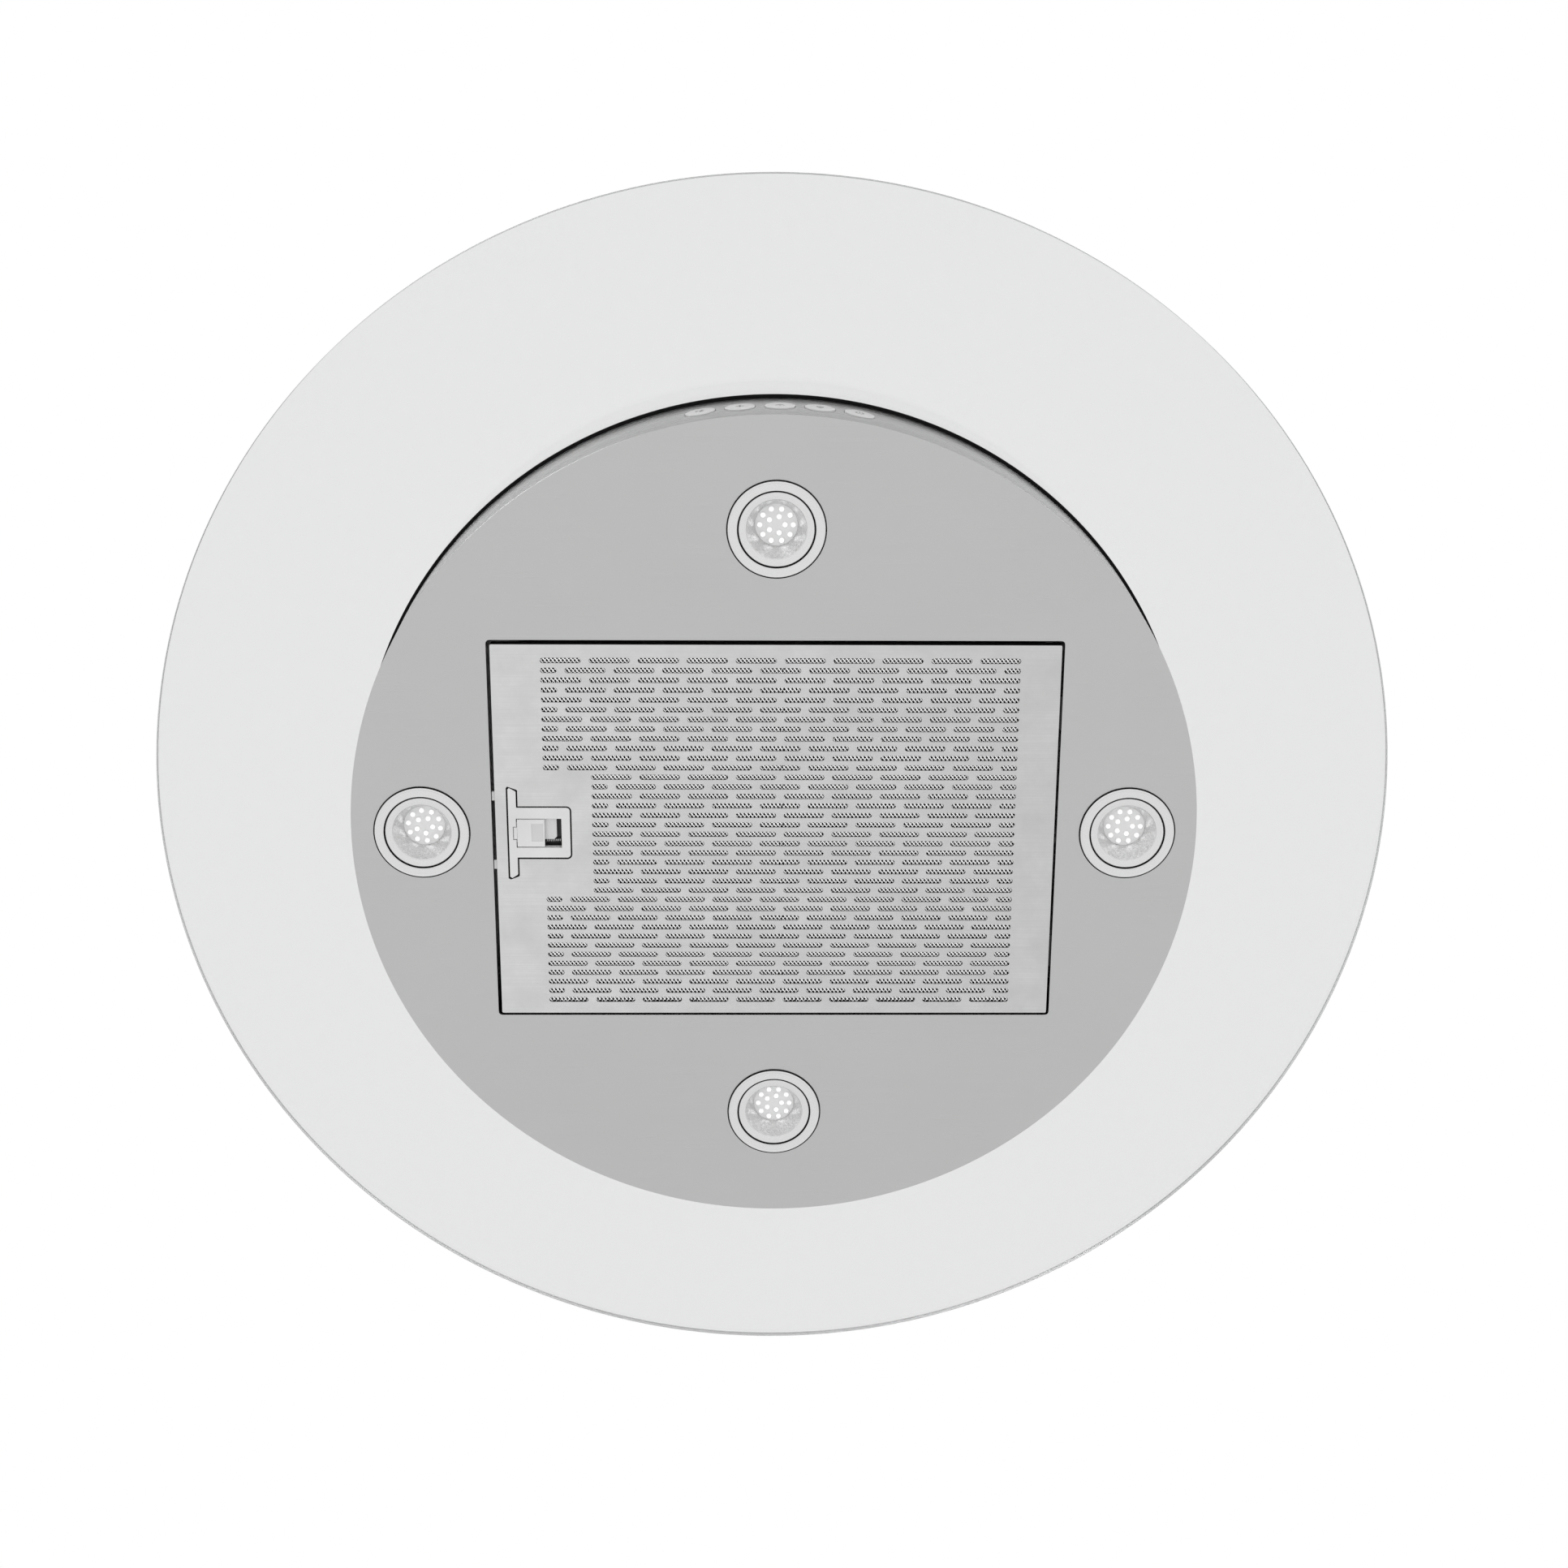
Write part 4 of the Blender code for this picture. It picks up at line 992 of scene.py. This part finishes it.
def at_each_led(name, profile):
    """A profile turned about the place of each diode on the lamp's board."""
    shape = bmesh.new()
    for count, reach in LED_RINGS:
        for i in range(count):
            a = LED_PHASE + 2 * pi * i / count
            turn_into(shape, profile, LED_SIDES, (reach * sin(a), -reach * cos(a), 0))
    return finished(name, shape)


def led_profile():
    """A dome on a short foot."""
    dome = [(LED_RADIUS * sin(a), -0.0003 - LED_RADIUS * 0.8 * cos(a))
            for a in (pi / 2 * i / 6 for i in range(7))]
    dome[0] = (0, dome[0][1])
    return dome + [(LED_RADIUS, 0), (0, 0)]


def collar_profile():
    inner = LED_RADIUS + 0.0001
    return [(LED_COLLAR, -0.0003), (LED_COLLAR, 0), (inner, 0), (inner, -0.0003)]


def trim_profile():
    """Flange below the plate and a sleeve that goes up through its hole."""
    face = -0.0015
    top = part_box("lamp_trim_1")[1].z - UNDERSIDE - 0.0002
    return [(TRIM_METAL, -0.0002), (TRIM_METAL, face + 0.0005), (TRIM_METAL - 0.0004, face),
            (TRIM_METAL - 0.0012, face), (TRIM_METAL - 0.0015, face + 0.00015),
            (TRIM_BORE + 0.0010, face + 0.00015), (TRIM_BORE + 0.0007, face),
            (TRIM_BORE + 0.0003, face + 0.0002), (TRIM_BORE, 0.0006),
            (TRIM_BORE, top), (TRIM_SLEEVE, top), (TRIM_SLEEVE, -0.0002)]


def lamp_parts():
    """Part, mesh, skin, slot and CAD node of each lamp part, drawn about the lamp's axis."""
    foot = LED_FOOT
    seal = [(SEAL_OUTER, -0.0001), (SEAL_OUTER, -0.0006), (SEAL_OUTER - 0.0002, -0.0008),
            (TRIM_METAL + 0.0001, -0.0008), (TRIM_METAL + 0.0001, -0.0001)]
    inner_seal = [(TRIM_BORE - 0.0001, 0.0014), (TRIM_BORE - 0.0001, -0.0004),
                  (RING_OUTER + 0.0001, -0.0004), (RING_OUTER + 0.0001, 0.0014)]
    ring = [(RING_OUTER, 0.0016), (RING_OUTER, -0.0006), (RING_OUTER - 0.0004, -0.0009),
            (RING_INNER + 0.0006, -0.0006), (RING_INNER, -0.0001), (RING_INNER + 0.0002,
             0.0016)]
    board = [(BOARD_RADIUS, foot + 0.0016), (BOARD_RADIUS, foot), (0, foot),
             (0, foot + 0.0016)]
    return [("trim", turned("lamp_trim", eased(trim_profile(), 0.0001), 128), TRIM,
             "trim_chrome", "lamp_trim"),
            ("seal", turned("lamp_seal", seal, 128), RUBBER, "seal_rubber", None),
            ("inner_seal", turned("lamp_inner_seal", inner_seal, 128), RUBBER, "seal_rubber",
             None),
            ("inner_ring", turned("lamp_inner_ring", eased(ring, 0.0001), 128), TRIM,
             "trim_chrome", "lamp_reflector"),
            ("bowl", facetted_bowl("lamp_bowl", -0.0001, foot - 0.0001), REFLECTOR,
             "reflector_chrome", None),
            ("board", turned("lamp_board", board, SMALL_ROUND), LAMP_BOARD, "lamp_white",
             "lamp_led_board")]


def make_lamps():
    """Downlights: trim on a rubber seal, inner ring, facetted bowl and LED cluster."""
    parts = lamp_parts()
    leds = [("leds", at_each_led("lamp_leds", led_profile()), LED),
            ("led_collars", at_each_led("lamp_led_collars", collar_profile()), LAMP_BOARD)]
    for number, place in lamp_centres().items():
        turn = Matrix.Rotation(LAMP_TURNS[number], 4, "Z")
        matrix = Matrix.Translation((*place, at(0))) @ turn
        for part, mesh, skin, slot, node in parts:
            place_piece(f"lamp_{number}_{part}", mesh.copy(), skin, "hood",
                        [f"{node}_{number}"] if node else [], matrix,
                        sharp=1 if part == "bowl" else 32)
        matrix = matrix @ Matrix.Translation((0, 0, LED_FOOT))
        for part, mesh, skin in leds:
            place_piece(f"lamp_{number}_{part}", mesh.copy(), skin, "hood", (),
                        matrix)


# ---------------- chimney
COVER_SHEET = 0.0012
DUCT_HOLE = 0.082
FIXING_HOLE, FIXING_CIRCLE = 0.0035, 0.112


def make_covers():
    """Two telescoping tubes with eased edges."""
    for name, node, body in (("lower_chimney_cover", "lower_cover", "hood"),
                             ("upper_chimney_cover", "upper_cover", "ceiling_frame")):
        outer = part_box(node)[1].x
        make_ring(name, node, outer - COVER_SHEET, outer, 0.0004, COVER, body, "cover_steel")


def make_ceiling_plate():
    low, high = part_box("ceiling_plate")
    holes = [circle(DUCT_HOLE, sides=128)]
    holes += [circle(FIXING_HOLE, (FIXING_CIRCLE * cos(a), FIXING_CIRCLE * sin(a)), 24)
              for a in (0, pi / 2, pi, 3 * pi / 2)]
    mesh = sheet("ceiling_plate_sheet", [circle(high.x)] + holes, low.z, high.z)
    place_piece("ceiling_plate_sheet", mesh, ZINC, "ceiling_frame",
                ["ceiling_plate"])


def dress_cad_nodes():
    """Finish the CAD nodes that show as they are."""
    finishes = {
        "lower_frame upper_frame blower_box box_lid blower_housing motor_bracket "
        "collar_flange control_box control_lid button_bracket damper_flap_rear "
        "damper_flap_front": ZINC,
        "outlet_collar cable_gland led_driver": BLACK,
        "clamp_bolt_1 clamp_bolt_2 clamp_bolt_3 clamp_bolt_4": FASTENER,
        "motor_shaft damper_pin": SHAFT,
        "impeller": WHEEL,
        "motor": ENAMEL,
        "capacitor": WHITE_CASE,
        # the frame's near-black is painted shade for the gap round the filter's face
        "filter_frame": FRAME_SHADE_BLACK,
        "button_board": BOARD,
    }
    for names, skin in finishes.items():
        for name in names.split():
            for place in frame["nodes"][name].material_slots:
                place.material = skin


# ---------------- studio
CAMERA_PLACE = (-0.01667, -0.60032, -2.40574)
CAMERA_PITCH, CAMERA_YAW, CAMERA_ROLL = (radians(a) for a in (19.306, 0.778, 0.073))
CAMERA_LENS = 55.59  # mm, on a 36 mm sensor
FLOOR = -4.8  # far down, so that views from below stay above it
FLOOR_RADIUS = 13.5
SKY_AHEAD, SKY_BEHIND = 1.25, 0.45  # light level at the front and the back


def make_camera():
    """Looks up at the hood from below and in front; the picture's top is the front."""
    ahead = Vector((0, sin(CAMERA_PITCH), cos(CAMERA_PITCH)))
    up = Vector((0, -cos(CAMERA_PITCH), sin(CAMERA_PITCH)))
    right = Vector((1, 0, 0))
    ahead, right = (ahead * cos(CAMERA_YAW) + right * sin(CAMERA_YAW),
                    right * cos(CAMERA_YAW) - ahead * sin(CAMERA_YAW))
    right, up = (right * cos(CAMERA_ROLL) + up * sin(CAMERA_ROLL),
                 up * cos(CAMERA_ROLL) - right * sin(CAMERA_ROLL))
    lens = bpy.data.cameras.new("camera")
    lens.lens = CAMERA_LENS
    lens.sensor_width = 36.0
    camera = new_object("camera", lens)
    camera.matrix_world = (Matrix.Translation(CAMERA_PLACE)
                           @ Matrix((right, up, -ahead)).transposed().to_4x4())
    bpy.context.scene.camera = camera


def make_floor():
    mesh = sheet("studio_floor", [circle(FLOOR_RADIUS, sides=96)], FLOOR - 0.02, FLOOR, 0.001)
    floor = new_object("studio_floor", mesh)
    mesh.materials.append(moulded("studio_floor", 0.925, 0.7, 90, 0.0005))


def make_light(name, place, aim, size, power):
    """A square softbox that lights the hood and doesn't show itself."""
    lamp = bpy.data.lights.new(name, "AREA")
    lamp.energy = power
    lamp.size = size
    light = new_object(name, lamp)
    facing = (Vector(aim) - Vector(place)).to_track_quat("-Z", "Y")
    light.matrix_world = Matrix.Translation(place) @ facing.to_matrix().to_4x4()
    light.visible_camera = False


def make_world():
    """White to the eye; for light and reflections, softer towards the horizon at the back."""
    world = bpy.data.worlds.new("studio")
    bpy.context.scene.world = world
    world.use_nodes = True
    tree = world.node_tree
    tree.nodes.clear()

    def node(kind, settings=(), **inputs):
        return add_node(tree, kind, settings, **inputs)

    way = node("SeparateXYZ", Vector=node("TexCoord").outputs["Generated"]).outputs
    steep = node("Math", {"operation": "ABSOLUTE"}, Value=way["Z"])
    horizon = node("MapRange", Value=steep.outputs[0], From_Min=0.25, From_Max=0.8,
                   To_Min=1.0, To_Max=0.0).outputs[0]
    level = node("MapRange", Value=way["Y"], From_Min=-0.6, From_Max=0.9, To_Min=SKY_AHEAD,
                 To_Max=SKY_BEHIND).outputs[0]
    blend = node("Mix", {"data_type": "FLOAT"}, Factor=horizon, A=1.0, B=level)
    lit = node("Background", Color=(1, 1, 1, 1), Strength=blend.outputs[0])
    seen = node("Background", Color=(1, 1, 1, 1), Strength=1.0)
    mix = node("MixShader", Fac=node("LightPath").outputs["Is Camera Ray"])
    tree.links.new(lit.outputs[0], mix.inputs[1])
    tree.links.new(seen.outputs[0], mix.inputs[2])
    node("OutputWorld", Surface=mix.outputs[0])
    bpy.context.scene.view_settings.view_transform = "Standard"


def make_studio():
    make_camera()
    make_floor()
    make_light("key_softbox", (-2.6, -2.4, 1.6), (0, 0, -0.5), 2.0, 90)
    make_light("fill_softbox", (2.8, -1.6, 0.6), (0, 0, -0.5), 1.8, 40)
    make_world()


def make_hood():
    frames = button_frames()
    make_glass()
    make_seals()
    make_wall(frames)
    make_bottom_plate()
    make_top_deck()
    make_buttons(frames)
    make_filter_face()
    make_filter_mesh()
    make_latch_housing()
    make_latch_slider()
    make_latch_spring()
    make_lamps()
    make_covers()
    make_ceiling_plate()
    dress_cad_nodes()


make_hood()
make_studio()
